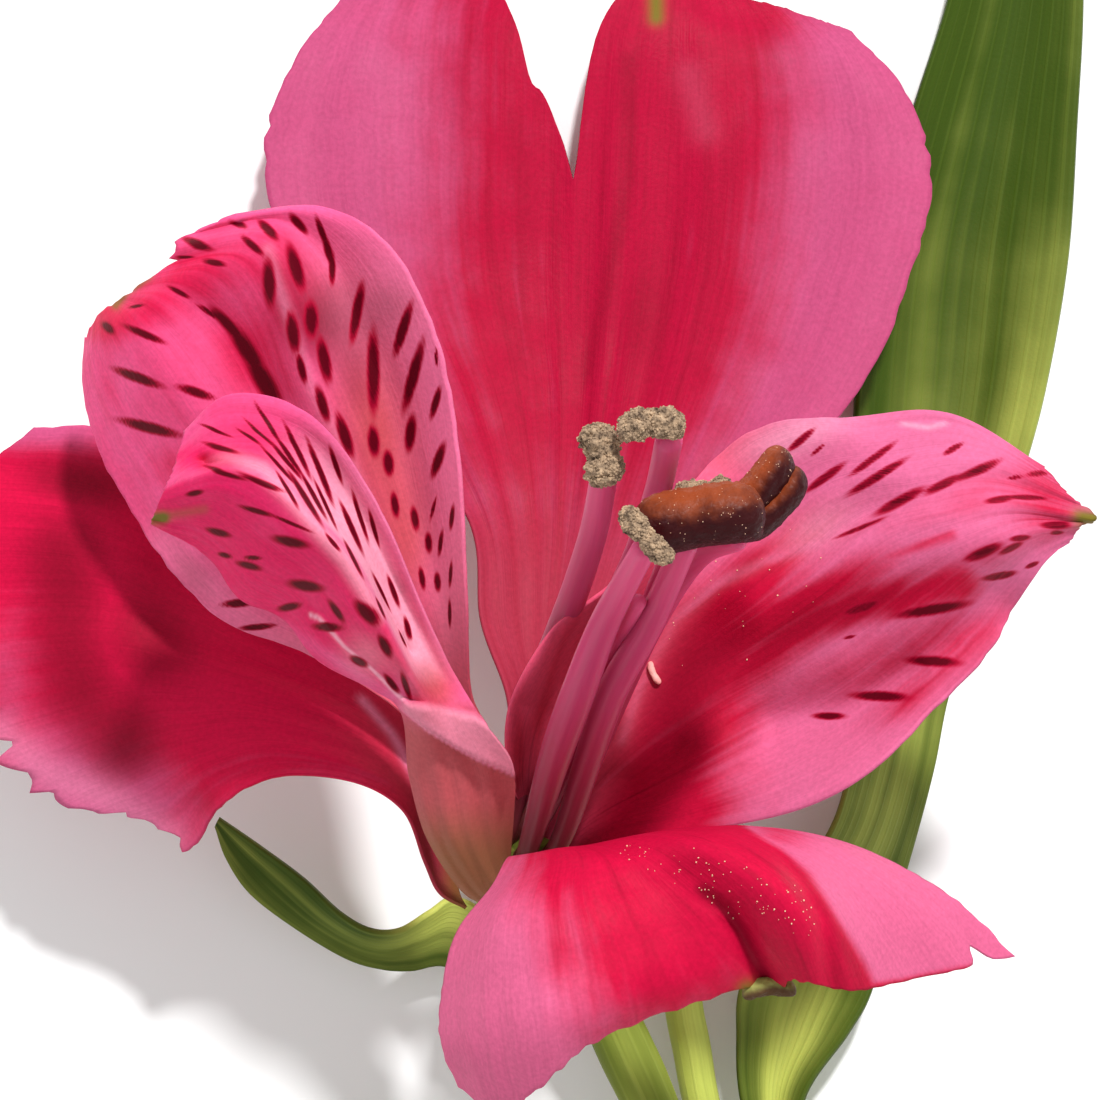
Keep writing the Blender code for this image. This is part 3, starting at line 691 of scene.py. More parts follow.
def left_edges(u, v):
    """Small teeth along the far margin and the lower corner."""
    depth = 0.03 * wobble(u / 2 + 0.5, 60, 3) * (1 - 0.85 * soft(u, 0, 0.5)) + 0.11 * soft(-u, 0.5, 1)
    teeth = 0.012 * wobble(v, 60, 4) * soft(v, 0.6, 0.8)
    return u * (1 - teeth), v * (1 - depth)


def left_relief(at):
    """Lengthwise folds that fade towards the claw."""
    return 0.25 * waves(at, 4, 1.5, 9) * soft(at.v, 0.3, 0.7)


def left_marks(at):
    """Crimson nearly all over, pink at the lower corner and along the upper margin."""
    return dict(deep=(1 - at.pink) * soft(at.v, 0.12, 0.3), shade=most(at.shadows, 0.85 * at.long_shadow),
                claw=fade(at.v, 0.25, 0.6), pale=most(0.7 * at.pale_line, 0.45 * at.lit_edge),
                tip=0.6 * fade(at.v, 0.02, 0.16))


tepal("left_tepal", "outer_tepal_left", OUTER_LEFT, (150, 120), LEFT_BRUSH, left_edges, left_relief,
      left_marks)

# %% The bottom tepal
OUTER_BOTTOM = {
    "left margin": [(537, 902, 18.6), (522, 882, 23), (510, 858, 28.5), (492, 888, 31),
                    (458, 932, 32), (443, 985, 32), (441, 1040, 30.5), (462, 1088, 28)],
    "left lobe": [(542, 900, 18.2), (534, 880, 22.4), (532, 855, 29.2), (525, 872, 33.3),
                  (505, 915, 36), (500, 975, 37), (505, 1035, 36), (522, 1118, 31.5)],
    "left of crease": [(548, 898, 18), (548, 878, 22), (556, 851, 29.8), (575, 858, 35),
                       (575, 900, 37.5), (585, 955, 38.5), (595, 1005, 37.5), (600, 1047, 34)],
    "crease": [(552, 897, 17.9), (563, 876, 21.8), (586, 847, 30), (635, 855, 35.5),
               (672, 885, 37), (708, 920, 37.3), (738, 955, 36.3), (765, 991, 33.8)],
    "ridge": [(559, 897, 18), (578, 874, 22), (622, 840, 30.5), (690, 838, 36.5),
              (740, 862, 39), (780, 895, 39.8), (808, 940, 38.5), (828, 996, 35.5)],
    "right lobe": [(566, 898, 18.2), (592, 870, 22.4), (658, 834, 29.5), (735, 830, 33),
                   (785, 845, 34), (840, 880, 34.2), (880, 925, 33), (915, 980, 30.5)],
    "right margin": [(573, 900, 18.6), (606, 864, 23), (693, 831, 28), (768, 829, 30),
                     (840, 842, 29.5), (905, 869, 28.2), (965, 907, 26.8), (1015, 957, 25)],
}
BOTTOM_CREASE = [(706, 890), (728, 908), (742, 930), (752, 952), (764, 976)]
BOTTOM_FOLD = [(738, 830), (776, 851), (796, 883), (818, 917), (826, 952), (832, 990)]
BOTTOM_CRIMSON_LEFT = [(505, 850), (520, 890), (538, 930), (548, 970), (562, 1010), (610, 1060)]
BOTTOM_CRIMSON_RIGHT = [(744, 830), (780, 851), (807, 876), (817, 892), (833, 917), (861, 965), (872, 990)]
BOTTOM_BRUSH = {
    "fold": (BOTTOM_FOLD, 9),
    "crease": (BOTTOM_CREASE, 12),
    "crease_shade": (BOTTOM_CREASE, 11),
    "crimson_edge": ([(840, 992), (900, 984), (975, 968)], 6),
    "crimson_top": [(782, 838, 30, 11, 14, 0.6)],
    "point": ([(746, 988), (770, 1000), (788, 996)], 9),
}


def bottom_edges(u, v):
    """Small teeth along the left lobe's margin, a small tip, and a nick near the right end."""
    drawn_back = 0.03 * (1 - hump(u, 0.05, 0.065)) * fade(u, 0.25, 0.5) * soft(u, -0.9, -0.4)
    tooth = 0.018 * (1 - 0.75 * soft(u, 0.15, 0.4)) * wobble(u / 2 + 0.5, 70, 5)
    nick = 0.05 * hump(u, 0.9, 0.022)
    teeth = 0.01 * wobble(v, 50, 6) * soft(v, 0.5, 0.8)
    return u * (1 - teeth), v * (1 - (drawn_back + tooth + nick))


def bottom_relief(at):
    """A crease left of the crimson ridge, a fold right of it, a raised left lobe and lengthwise waves."""
    crease = at.crease * soft(at.down, 885, 925)
    lifted = soft(at.v, 0.72, 1) * fade(at.u, -0.4, 0.1)
    swell = 0.3 * waves(at, 5, 2, 12) * soft(at.v, 0.3, 0.6)
    return -1.15 * crease - 0.6 * at.fold + 2.2 * lifted + swell


def bottom_marks(at):
    """Crimson along the middle and over the ridge, painted shade in the crease, behind the fold and at its
    top, and pink at both sides.
    """
    left = across_at(BOTTOM_CRIMSON_LEFT, at.down)
    right = across_at(BOTTOM_CRIMSON_RIGHT, at.down)
    band = soft(at.across, left - 60, left + 95) * fade(at.across, right - 9, right + 13)
    band = band * (1 - 0.3 * soft(at.down, 950, 1010) * fade(at.across, 700, 780))
    # Painted shade in the strip behind the fold, up to the crimson's right edge.
    behind = soft(at.across - across_at(BOTTOM_FOLD, at.down), -2, 9)
    behind = behind * fade(at.across, right - 6, right + 12)
    shade = most(0.7 * at.crease_shade, 0.4 * behind, 0.15 * at.crimson_top)
    return dict(deep=most(band, at.crimson_top, 0.8 * at.crimson_edge), shade=shade, tip=at.point,
                claw=fade(at.v, 0.08, 0.3))


bottom_tepal = tepal("bottom_tepal", "outer_tepal_bottom", OUTER_BOTTOM, (160, 140), BOTTOM_BRUSH,
                     bottom_edges, bottom_relief, bottom_marks)

# %% [markdown]
# ## The inner tepals
#
# The three inner tepals are narrower and folded along their length, and they carry the
# dark flecks that lead an insect to the nectar. A fleck runs with the veins, so each is
# given by its two ends and its width as seen from above, and is laid on the topmost part
# of the petal there.

# %% The upper left tepal
INNER_UPPER_LEFT = {
    "lower margin": [(466, 862, 16.6), (452, 815, 19.5), (436, 760, 21.5), (400, 712, 22.8), (310, 655, 22),
                     (230, 625, 21.2), (175, 575, 21), (130, 510, 21), (97, 445, 21), (84, 385, 21),
                     (86, 335, 20.5)],
    "lower half": [(470, 857, 16.2), (460, 808, 18.9), (448, 752, 20.8), (412, 706, 22.3), (345, 650, 23),
                   (270, 600, 23.2), (205, 540, 24), (160, 460, 25), (120, 395, 25), (98, 345, 24),
                   (98, 314, 22)],
    "bulge": [(473, 853, 16), (466, 802, 18.5), (456, 746, 20.4), (425, 702, 22), (378, 642, 24),
              (310, 570, 25), (245, 500, 26.5), (205, 420, 28), (165, 360, 28), (135, 320, 27),
              (115, 303, 23.5)],
    "rib": [(476, 849, 15.9), (471, 797, 18.3), (463, 741, 20.2), (437, 698, 22), (400, 632, 24.5),
            (340, 540, 26), (290, 460, 27.5), (262, 390, 28), (225, 325, 28.5), (180, 288, 28.5),
            (131, 290, 25)],
    "crease": [(479, 845, 16), (477, 792, 18.5), (471, 738, 20.4), (449, 695, 22.2), (420, 620, 25.3),
               (370, 515, 27.5), (335, 435, 29.5), (308, 375, 31), (288, 305, 32), (250, 250, 31.5),
               (163, 263, 27)],
    "wall": [(482, 842, 16.2), (483, 788, 18.9), (478, 734, 20.8), (460, 692, 22.8), (445, 610, 26),
             (415, 500, 26.5), (392, 410, 27.5), (360, 330, 29), (330, 265, 30), (275, 222, 30.5),
             (180, 238, 27.5)],
    "upper margin": [(486, 840, 16.6), (490, 784, 19.5), (485, 730, 21.5), (470, 688, 24), (467, 600, 28),
                     (463, 500, 30), (452, 400, 31), (430, 315, 32), (385, 240, 32), (320, 207, 31),
                     (225, 216, 28.5)],
}
UPPER_LEFT_FLECKS = [
    (290, 212, 308, 234, 10), (258, 220, 278, 242, 10), (229, 221, 248, 229, 8), (287, 243, 302, 293, 14),
    (242, 236, 265, 256, 8), (268, 256, 272, 310, 14), (364, 280, 350, 345, 12), (413, 300, 395, 357, 11),
    (290, 310, 297, 354, 13), (309, 300, 311, 339, 15), (318, 335, 328, 385, 13), (298, 352, 306, 384, 8),
    (425, 336, 404, 414, 12), (316, 384, 328, 423, 10), (442, 384, 432, 420, 8), (437, 346, 438, 368, 4),
    (336, 412, 352, 459, 12), (371, 424, 374, 458, 13), (414, 413, 409, 453, 12), (386, 449, 389, 477, 12),
    (446, 441, 433, 479, 10), (392, 491, 396, 519, 9), (413, 505, 417, 532, 10), (438, 495, 431, 522, 4),
    (429, 531, 430, 554, 9), (455, 503, 452, 530, 5), (444, 528, 440, 557, 5), (420, 566, 424, 590, 7),
    (438, 571, 439, 592, 8), (453, 560, 451, 588, 4), (451, 598, 451, 627, 4), (367, 493, 379, 517, 6),
    (316, 214, 329, 248, 7), (324, 232, 334, 270, 9), (333, 250, 331, 286, 8),
    (374, 326, 372, 418, 15),
    (102, 322, 117, 334, 10), (122, 324, 168, 344, 8), (112, 367, 166, 387, 11), (176, 385, 216, 399, 10),
    (116, 418, 186, 436, 12), (168, 286, 192, 298, 6), (196, 303, 224, 321, 6), (210, 304, 250, 346, 13),
    (228, 320, 268, 380, 19), (246, 350, 284, 412, 22), (182, 239, 216, 251, 9), (176, 256, 197, 258, 5),
    (203, 261, 228, 265, 7), (129, 309, 147, 305, 4), (220, 604, 260, 600, 9), (238, 628, 278, 624, 7),
]
UPPER_LEFT_BRUSH = {
    "rim": ([(165, 545), (215, 600), (260, 640), (320, 665)], 26),
    # A few flush spots, at the far bend and down the wall, are painted shade.
    "flush": [(200, 272, 90, 34, -20, 0.65), (252, 360, 40, 70, -35, 0.75), (110, 400, 22, 60, 0, 0.4),
              (105, 322, 30, 22, 0, 0.8), (284, 290, 36, 60, -14, 0.5), (150, 310, 40, 26, -20, 0.5),
              (178, 468, 44, 34, 0, 0.6), (334, 302, 40, 40, -20, 0.55), (408, 312, 24, 34, 0, 0.35),
              (400, 500, 20, 44, -10, 0.3)],
    "point": ([(117, 306), (128, 292), (150, 276)], 5),
    "pale_line": ([(268, 250), (290, 320), (312, 390), (345, 450), (390, 560)], 6),
    "dusk": [(376, 430, 42, 110, -10, 0.95), (405, 540, 34, 75, -8, 0.85)],
    "shadows": [(326, 318, 46, 46, -20, 0.92), (392, 306, 30, 30, 0, 0.5), (284, 286, 26, 56, -14, 0.45),
                (190, 575, 36, 30, 40, 0.5), (356, 378, 24, 60, -6, 0.55)],
}


def upper_left_edges(u, v):
    """A gently uneven margin, with small nicks on its left side."""
    nicks = 0.02 * wobble(v, 60, 7) * np.where(u < 0, 1.0, 0.5)
    return u * (1 - nicks), v * (1 - 0.02 * wobble(u / 2 + 0.5, 30, 8))


def upper_left_relief(at):
    """Ribs that run up the petal, strongest at its far end."""
    return 0.25 * waves(at, 5, 1.8, 5) * soft(at.v, 0.35, 0.7)


def upper_left_marks(at):
    """A pale wall on the right with painted shade down it, coral towards the claw, hot pink on the left, and
    painted shadows.
    """
    wall = soft(at.u, 0.35, 0.65) * soft(at.v, 0.25, 0.5) * fade(at.v, 0.72, 0.92)
    dusk = at.dusk * soft(at.u, 0.0, 0.25)
    flush = most(at.flush, 0.28 * fade(at.u, 0.1, 0.4) * soft(at.v, 0.45, 0.7))
    pale = most(wall * 0.4 * (1 - dusk), at.rim * 0.3, at.pale_line * 0.35)
    return dict(pale=pale, claw=most(0.9 * fade(at.v, 0.2, 0.65), dusk), shade=most(0.4 * dusk, at.shadows),
                deep=flush, tip=0.8 * at.point)


tepal("upper_left_tepal", "inner_tepal_upper_left", INNER_UPPER_LEFT, (140, 170), UPPER_LEFT_BRUSH,
      upper_left_edges, upper_left_relief, upper_left_marks, UPPER_LEFT_FLECKS)

# %% The front left tepal
INNER_FRONT_LEFT = {
    "lower margin": [(490, 905, 18.5), (462, 890, 21.5), (428, 838, 25), (410, 776, 27.6), (402, 712, 30),
                     (372, 688, 31), (318, 660, 31), (283, 618, 31), (240, 598, 31), (214, 562, 32),
                     (190, 543, 33), (170, 533, 33.5), (151, 523, 33.3)],
    "lower half": [(496, 905, 18.1), (471, 889, 22), (440, 840, 26), (424, 779, 28.5), (412, 716, 31),
                   (385, 682, 32.2), (338, 648, 33.2), (300, 600, 34), (256, 572, 34.7), (226, 540, 35),
                   (200, 522, 35.5), (174, 520, 34.6), (152, 518, 33.6)],
    "below ridge": [(501, 905, 17.9), (480, 887, 22.3), (454, 841, 26.5), (440, 779, 29), (423, 718, 31.5),
                    (398, 676, 33.2), (358, 630, 35.6), (322, 578, 36.6), (280, 545, 37.6), (245, 518, 37.7),
                    (213, 500, 37.6), (180, 505, 36), (156, 508, 34.5)],
    "ridge": [(507, 905, 17.8), (489, 884, 22.3), (468, 838, 26.5), (456, 777, 29), (434, 718, 31.5),
              (408, 672, 34), (376, 612, 37), (347, 560, 38.6), (310, 522, 39.6), (272, 487, 40),
              (230, 470, 39.5), (190, 480, 37.6), (163, 492, 35.6)],
    "above ridge": [(513, 904, 17.9), (497, 880, 22), (482, 833, 26), (474, 772, 29), (448, 716, 31),
                    (418, 672, 31.6), (388, 612, 33), (360, 553, 34.6), (325, 510, 35.6), (292, 472, 36.5),
                    (250, 452, 37.4), (203, 458, 36.6), (170, 478, 35.5)],
    "upper half": [(518, 903, 18.1), (504, 875, 21.5), (497, 826, 25.6), (492, 768, 29), (463, 714, 31),
                   (432, 668, 30.2), (405, 606, 31), (376, 545, 32.8), (345, 495, 34), (312, 450, 35.4),
                   (268, 430, 36.4), (215, 430, 36), (176, 458, 35)],
    "upper margin": [(522, 903, 18.5), (510, 868, 21), (513, 816, 25), (513, 764, 29), (482, 718, 31.2),
                     (452, 668, 30.4), (420, 600, 32), (393, 535, 34), (368, 487, 35), (335, 438, 36),
                     (290, 403, 36.4), (228, 395, 35.4), (184, 432, 34.4)],
}
FRONT_LEFT_FLECKS = [
    (254, 400, 282, 447, 5), (272, 432, 304, 480, 5), (243, 418, 276, 450, 4), (268, 440, 302, 482, 5),
    (236, 428, 262, 447, 4), (258, 444, 296, 488, 4), (283, 420, 310, 480, 6), (306, 436, 332, 506, 7),
    (298, 470, 326, 522, 5), (275, 472, 298, 510, 4), (286, 470, 322, 528, 6), (312, 478, 336, 532, 4),
    (330, 444, 343, 484, 6), (338, 500, 362, 556, 6), (353, 489, 367, 544, 6), (370, 508, 380, 547, 5),
    (324, 534, 340, 552, 3), (342, 540, 362, 580, 4), (370, 572, 390, 612, 4), (386, 575, 398, 608, 6),
    (374, 598, 384, 620, 3), (403, 616, 410, 640, 6), (397, 630, 405, 648, 3), (198, 423, 234, 439, 4),
    (203, 443, 240, 455, 6), (203, 467, 250, 480, 5), (238, 472, 284, 493, 5), (186, 494, 205, 490, 6),
    (238, 504, 278, 516, 6), (268, 512, 314, 532, 4), (206, 527, 233, 535, 8), (271, 536, 311, 545, 11),
    (218, 552, 234, 556, 6), (244, 556, 264, 557, 5), (236, 561, 264, 568, 8), (286, 581, 327, 588, 12),
    (277, 608, 304, 603, 9), (312, 625, 346, 627, 10), (329, 598, 346, 622, 8), (355, 599, 379, 625, 14),
    (350, 655, 369, 665, 9), (379, 633, 392, 657, 10), (384, 672, 400, 692, 7), (402, 670, 412, 700, 7),
]
WHITE_EDGE = [(312, 614), (320, 617), (332, 630), (345, 645), (370, 665), (390, 685), (404, 699)]
FLAP_LOW = [(395, 703), (405, 711), (430, 731), (455, 746), (480, 760), (505, 770), (515, 775)]
FLAP_HIGH = [(395, 696), (410, 703), (440, 708), (475, 716), (500, 734), (512, 758)]
FRONT_LEFT_BRUSH = {
    "lip": (WHITE_EDGE, 4),
    "white": (WHITE_EDGE, 2),
    "fold": ([(185, 465), (228, 459), (262, 470), (290, 497), (318, 530), (345, 560), (364, 590),
              (378, 616)], 8),
    "channel": ([(205, 466), (262, 482), (302, 513), (332, 545), (358, 577), (382, 615), (405, 655)], 10),
    "strip": ([(285, 628), (305, 640), (330, 655), (370, 683)], 9),
    "flush": [(195, 500, 40, 22, 0, 0.6), (250, 430, 70, 46, 12, 0.6), (432, 690, 22, 26, 0, 0.7),
              (206, 460, 50, 16, 5, 0.7)],
    "point": ([(146, 518), (164, 517)], 6),
    "green_line": ([(160, 516), (205, 508)], 5),
    "upper_vein": ([(425, 715), (470, 742)], 3),
    "lower_vein": ([(455, 718), (495, 755)], 3),
    "lit": [(366, 656, 24, 20, 30, 0.35)],
    "warm": [(430, 680, 24, 44, -30, 0.9)],
    "shadow": [(240, 448, 60, 36, 12, 0.3)],
}


def front_left_edges(u, v):
    """A gently uneven margin."""
    return u * (1 - 0.012 * wobble(v, 45, 9)), v * (1 - 0.008 * wobble(u / 2 + 0.5, 30, 10))


def claw_flap(at):
    """1 on the margin that is turned over the claw."""
    low, high = (down_at(path, at.across) for path in (FLAP_LOW, FLAP_HIGH))
    return fade(at.down - low, -2, 2) * soft(at.down - high, -4, 3) * soft(at.across, 396, 408)


def front_left_relief(at):
    """The flap raised over the claw, ribs, a thin lip along the white edge, and a channel above the fold."""
    ribs = 0.1 * np.sin(at.u * 14) * fade(at.v, 0.2, 0.32)
    channel = at.channel * soft(at.u, 0.0, 0.2)
    swell = 0.1 * waves(at, 6, 2.5, 7) * soft(at.v, 0.35, 0.5)
    return 1.1 * claw_flap(at) + ribs + 0.25 * at.lip - 1.6 * channel + swell


def front_left_marks(at):
    """Pale above the fold with a painted highlight along it, hot pink below it, and a claw that turns from
    dusky pink to green-brown.
    """
    flap = claw_flap(at)
    throat = soft(at.u, 0.02, 0.2) * soft(at.v, 0.38, 0.46) * fade(at.v, 0.64, 0.84)
    throat = throat * (1 - 0.7 * soft(at.u, 0.7, 1))
    # A painted highlight along the fold.
    band = at.fold * soft(at.across, 180, 280)
    below = fade(at.u, -0.05, 0.12) * soft(at.v, 0.36, 0.46) * (1 - 0.5 * at.strip)
    hot = fade(at.across, 190, 300) * soft(at.u, -0.1, 0.2) * fade(at.down, 470, 500)
    claw = fade(at.v, 0.3, 0.4) * (1 - flap)
    veins = (at.upper_vein + at.lower_vein) * flap
    return dict(pale=most(0.75 * throat, 0.8 * at.white, 0.5 * band, 0.35 * flap, at.lit),
                claw=most(claw, 0.55 * flap, at.warm),
                deep=most(0.72 * below, 0.35 * hot, at.flush) + 0.25 * veins,
                tip=most(at.point + 0.35 * at.green_line, 0.55 * claw * soft(at.down, 790, 860)),
                shade=at.shadow)


tepal("front_left_tepal", "inner_tepal_front_left", INNER_FRONT_LEFT, (140, 190), FRONT_LEFT_BRUSH,
      front_left_edges, front_left_relief, front_left_marks, FRONT_LEFT_FLECKS)

# %% The right tepal
INNER_RIGHT = {
    "upper margin": [(530, 836, 16.2), (508, 762, 20.6), (512, 698, 22.2), (553, 628, 23.4),
                     (620, 575, 24.6), (695, 478, 26), (765, 424, 28), (860, 416, 29), (950, 413, 28.5),
                     (1045, 468, 27)],
    "upper half": [(537, 841, 15.9), (535, 780, 18.3), (556, 712, 19.6), (610, 645, 21), (680, 590, 22.5),
                   (752, 520, 24.6), (815, 468, 27), (895, 455, 29), (975, 450, 29), (1068, 494, 27.3)],
    "rib": [(545, 847, 15.8), (565, 795, 17.6), (603, 732, 19.2), (672, 672, 20.6), (745, 625, 22),
            (815, 575, 24.5), (875, 528, 27), (940, 510, 29), (1005, 500, 29), (1098, 518, 27)],
    "lower half": [(552, 854, 16.1), (592, 815, 18.3), (655, 775, 20.6), (733, 728, 22.4), (805, 690, 24),
                   (875, 645, 26), (930, 600, 28), (980, 560, 29), (1030, 535, 28.5), (1082, 525, 27)],
    "lower margin": [(558, 862, 16.7), (618, 840, 20.3), (705, 830, 23), (800, 809, 26), (870, 772, 28),
                     (935, 712, 29), (995, 650, 29), (1018, 605, 28), (1045, 562, 27), (1070, 541, 26.5)],
}
RIGHT_FAINT_FLECKS = [
    (788, 451, 816, 428, 8), (811, 456, 826, 443, 5), (805, 493, 847, 462, 9), (849, 477, 897, 442, 8),
    (846, 496, 909, 458, 9), (875, 516, 926, 487, 12), (924, 495, 962, 475, 10), (952, 482, 1002, 460, 10),
    (943, 456, 964, 443, 7), (836, 539, 888, 518, 5), (1006, 479, 1022, 476, 5), (1024, 476, 1050, 473, 7),
    (984, 503, 1016, 498, 7), (1006, 498, 1048, 499, 6), (1038, 526, 1070, 525, 6),
    (1049, 532, 1063, 531, 5), (1008, 539, 1030, 536, 6), (963, 560, 1002, 543, 11),
    (998, 553, 1022, 541, 7), (1024, 567, 1038, 561, 5), (980, 578, 1017, 571, 8),
    (842, 614, 882, 600, 10), (843, 638, 857, 635, 4),
]
RIGHT_FLECKS = [
    (892, 616, 972, 601, 12), (903, 658, 964, 664, 12), (848, 694, 914, 699, 12), (812, 716, 848, 717, 9),
    (968, 557, 998, 545, 5), (885, 509, 915, 493, 4), (865, 485, 900, 466, 3), (965, 475, 992, 464, 3),
]
RIGHT_THROAT_EDGE = [(835, 560), (820, 592), (805, 640), (778, 690), (758, 745), (745, 850)]
RIGHT_BRUSH = {
    "ridge": ([(760, 600), (830, 575), (900, 550), (990, 530)], 40),
    "hollow": ([(780, 728), (860, 712), (940, 678), (1010, 620)], 42),
    "wrapped": ([(505, 765), (511, 700), (551, 630), (618, 577), (680, 500)], 24),
    "band": ([(640, 760), (680, 692), (726, 646), (772, 615), (826, 592), (872, 569), (926, 548),
              (985, 528)], 21),
    "fine_band": ([(780, 600), (872, 562), (950, 535)], 7),
    "streak": ([(700, 645), (734, 608), (780, 573), (849, 535), (926, 492), (988, 465), (1045, 455)], 9),
    "dusk": [(930, 645, 120, 36, -16, 0.6), (912, 698, 60, 22, -30, 0.45), (800, 700, 60, 22, -20, 0.15)],
    "glow": [(790, 436, 60, 20, -20, 0.6), (818, 528, 40, 20, -30, 0.4)],
    "far": [(1050, 505, 50, 40, 0, 0.6), (960, 500, 90, 24, -20, 0.3), (984, 556, 40, 20, -20, 0.4)],
    "cast": ([(705, 712), (745, 672), (784, 638), (820, 618), (870, 602), (960, 584)], 24),
    "lit": ([(622, 740), (645, 672), (676, 618), (718, 585), (765, 562), (815, 544)], 7),
    "lip": ([(905, 424), (930, 428), (946, 424)], 3),
    "point": ([(1080, 518), (1100, 519)], 9),
    "shadows": [(748, 566, 30, 20, -35, 0.45), (742, 736, 26, 46, 20, 0.4)],
}


def right_edges(u, v):
    """An uneven lower margin with small teeth."""
    teeth = 0.014 * wobble(v, 50, 11) * soft(v, 0.4, 0.6)
    return u * (1 - teeth), v * (1 - 0.006 * wobble(u / 2 + 0.5, 30, 12))


def right_relief(at):
    """A ridge along the crimson band, a hollow below it, a raised left margin and a rolled upper one."""
    rolled = (np.hypot(np.minimum(at.u, 0), 0.1) - 0.1) * soft(at.v, 0.42, 0.6) * fade(at.v, 0.78, 0.96)
    swell = 0.3 * waves(at, 5, 1.8, 3) * soft(at.v, 0.35, 0.6) * (1 - 0.9 * soft(-at.u, 0.2, 0.6))
    return 1.7 * at.ridge - 3.1 * at.hollow + 3.6 * at.wrapped - 3.2 * rolled + swell


def right_marks(at):
    """Crimson in the throat and in two streaks along the middle, pink at both sides, a brown-green point,
    and painted shade, shadow and highlights.
    """
    band = at.band * fade(at.across, 800, 960)
    upper = 0.35 * at.streak * fade(at.across, 800, 1000)
    from_edge = at.across - across_at(RIGHT_THROAT_EDGE, at.down)
    throat = fade(from_edge, -100, 55) * soft(at.down - 560 + 0.75 * (at.across - 700), 0, 60)
    inner = fade(at.across + 0.45 * (at.down - 700), 600, 680)
    deep = most(band, 0.5 * at.fine_band, upper, throat, at.dusk, at.far, 0.9 * at.cast)
    # Painted shade in the throat, strongest below the filaments.
    dark = 0.8 * throat ** 2 * (1 - inner) * soft(at.down, 575, 665) * (1 - 0.75 * soft(at.down, 715, 790))
    shade = most(dark, 0.5 * at.cast * (1 - 0.5 * soft(at.across, 840, 980)), at.shadows)
    # The light claw paint on the wrapped left margin is painted light where shade falls on it, and lip
    # paints a highlight on the curled upper margin.
    return dict(deep=deep * (1 - 0.4 * at.lit), shade=shade, tip=at.point, claw=0.85 * inner,
                pale=most(0.12 * at.lit, 0.6 * at.lip, at.glow))


right_tepal = tepal("right_tepal", "inner_tepal_right", INNER_RIGHT, (140, 170), RIGHT_BRUSH, right_edges,
                    right_relief, right_marks, RIGHT_FLECKS, RIGHT_FAINT_FLECKS)

# %% [markdown]
# ## Stamens
#
# Six filaments rise from the throat, each with a pollen sac on its tip. A filament is a
# sheet rolled round a smooth path: u goes round it and v along it. Its seam is merged
# with Merge by Distance, and its ends close to a point, so it is one closed skin. The
# first and last rows of the sheet are used for the rounded or flat ends.

# %% A sheet rolled into a closed tube
CAP = 0.04
LOOK_AHEAD = 0.002


def roll(name, sides, rows, path, radius, bulge=(1.0, 1.0)):
    """A closed tube along a path. radius(u, v) is in millimetres. A bulge of 0 ends it flat, and 1 round."""
    piece, u, v = sheet(name, sides, rows)
    along = np.clip((v - CAP) / (1 - 2 * CAP), 0, 1)
    ahead = smooth(path, np.minimum(along + LOOK_AHEAD, 1)) - smooth(path, np.maximum(along - LOOK_AHEAD, 0))
    ahead /= np.linalg.norm(ahead, axis=1)[:, None]
    across = np.cross(ahead, (1.0, 0.0, 0.0))
    across /= np.linalg.norm(across, axis=1)[:, None]
    upward = np.cross(across, ahead)
    closing = 1.0
    shift = 0.0
    for way, share, roundness in ((-1, v / CAP, bulge[0]), (1, (1 - v) / CAP, bulge[1])):
        share = np.clip(share, 0, 1)
        closing = closing * (np.sin(share * math.pi / 2) if roundness else share)
        shift = shift + way * roundness * np.cos(share * math.pi / 2)
    size = radius(u, along) * MM
    turn = u * math.pi
    ring = across * np.cos(turn)[:, None] + upward * np.sin(turn)[:, None]
    points = smooth(path, along) + ahead * (shift * size)[:, None] + ring * (size * closing)[:, None]
    piece.data.vertices.foreach_set("co", points.ravel())
    return piece, u, along


def seal(piece):
    """Merges a rolled piece's seam and ends, and turns its faces outwards."""
    select_only(piece)
    bpy.ops.object.mode_set(mode="EDIT")
    bpy.ops.mesh.select_all(action="SELECT")
    bpy.ops.mesh.remove_doubles(threshold=0.000001)
    bpy.ops.mesh.normals_make_consistent(inside=False)
    bpy.ops.object.mode_set(mode="OBJECT")


print("each end of a tube takes", CAP, "of its sheet")

# %% Paint for filaments
FILAMENT_FOOT = (112, 48, 48)
FILAMENT_TONES = ((0.05, 0.4, (164, 50, 82)), (0.3, 0.75, (192, 68, 112)), (0.8, 1.0, (206, 78, 122)))


def filament_paint():
    """Mauve pink, darker and greener towards the throat, with a faint gloss."""
    material, tree = new_material("filament_skin")
    fine = streak(tree, 16, 5, 21)
    foot = added(tree, marked(tree, "along"), (fine, 0.12))
    body = colour(*FILAMENT_FOOT)
    for low, high, tone in FILAMENT_TONES:
        body = mixed(tree, ramp(tree, foot, low, high), body, colour(*tone))
    body = dimmed(tree, body, ramp(tree, fine, -0.3, 0.3, 0.94, 1.05))
    shader = coat(tree, body, ramp(tree, fine, -0.3, 0.3, 0.36, 0.5), fine, 0.25, 0.0001, 0.2)
    shader.inputs["Subsurface Weight"].default_value = 0.6
    shader.inputs["Subsurface Radius"].default_value = (1.0, 0.35, 0.6)
    shader.inputs["Subsurface Scale"].default_value = 0.0015
    return material


filament_skin = filament_paint()
print("paint made:", filament_skin.name)

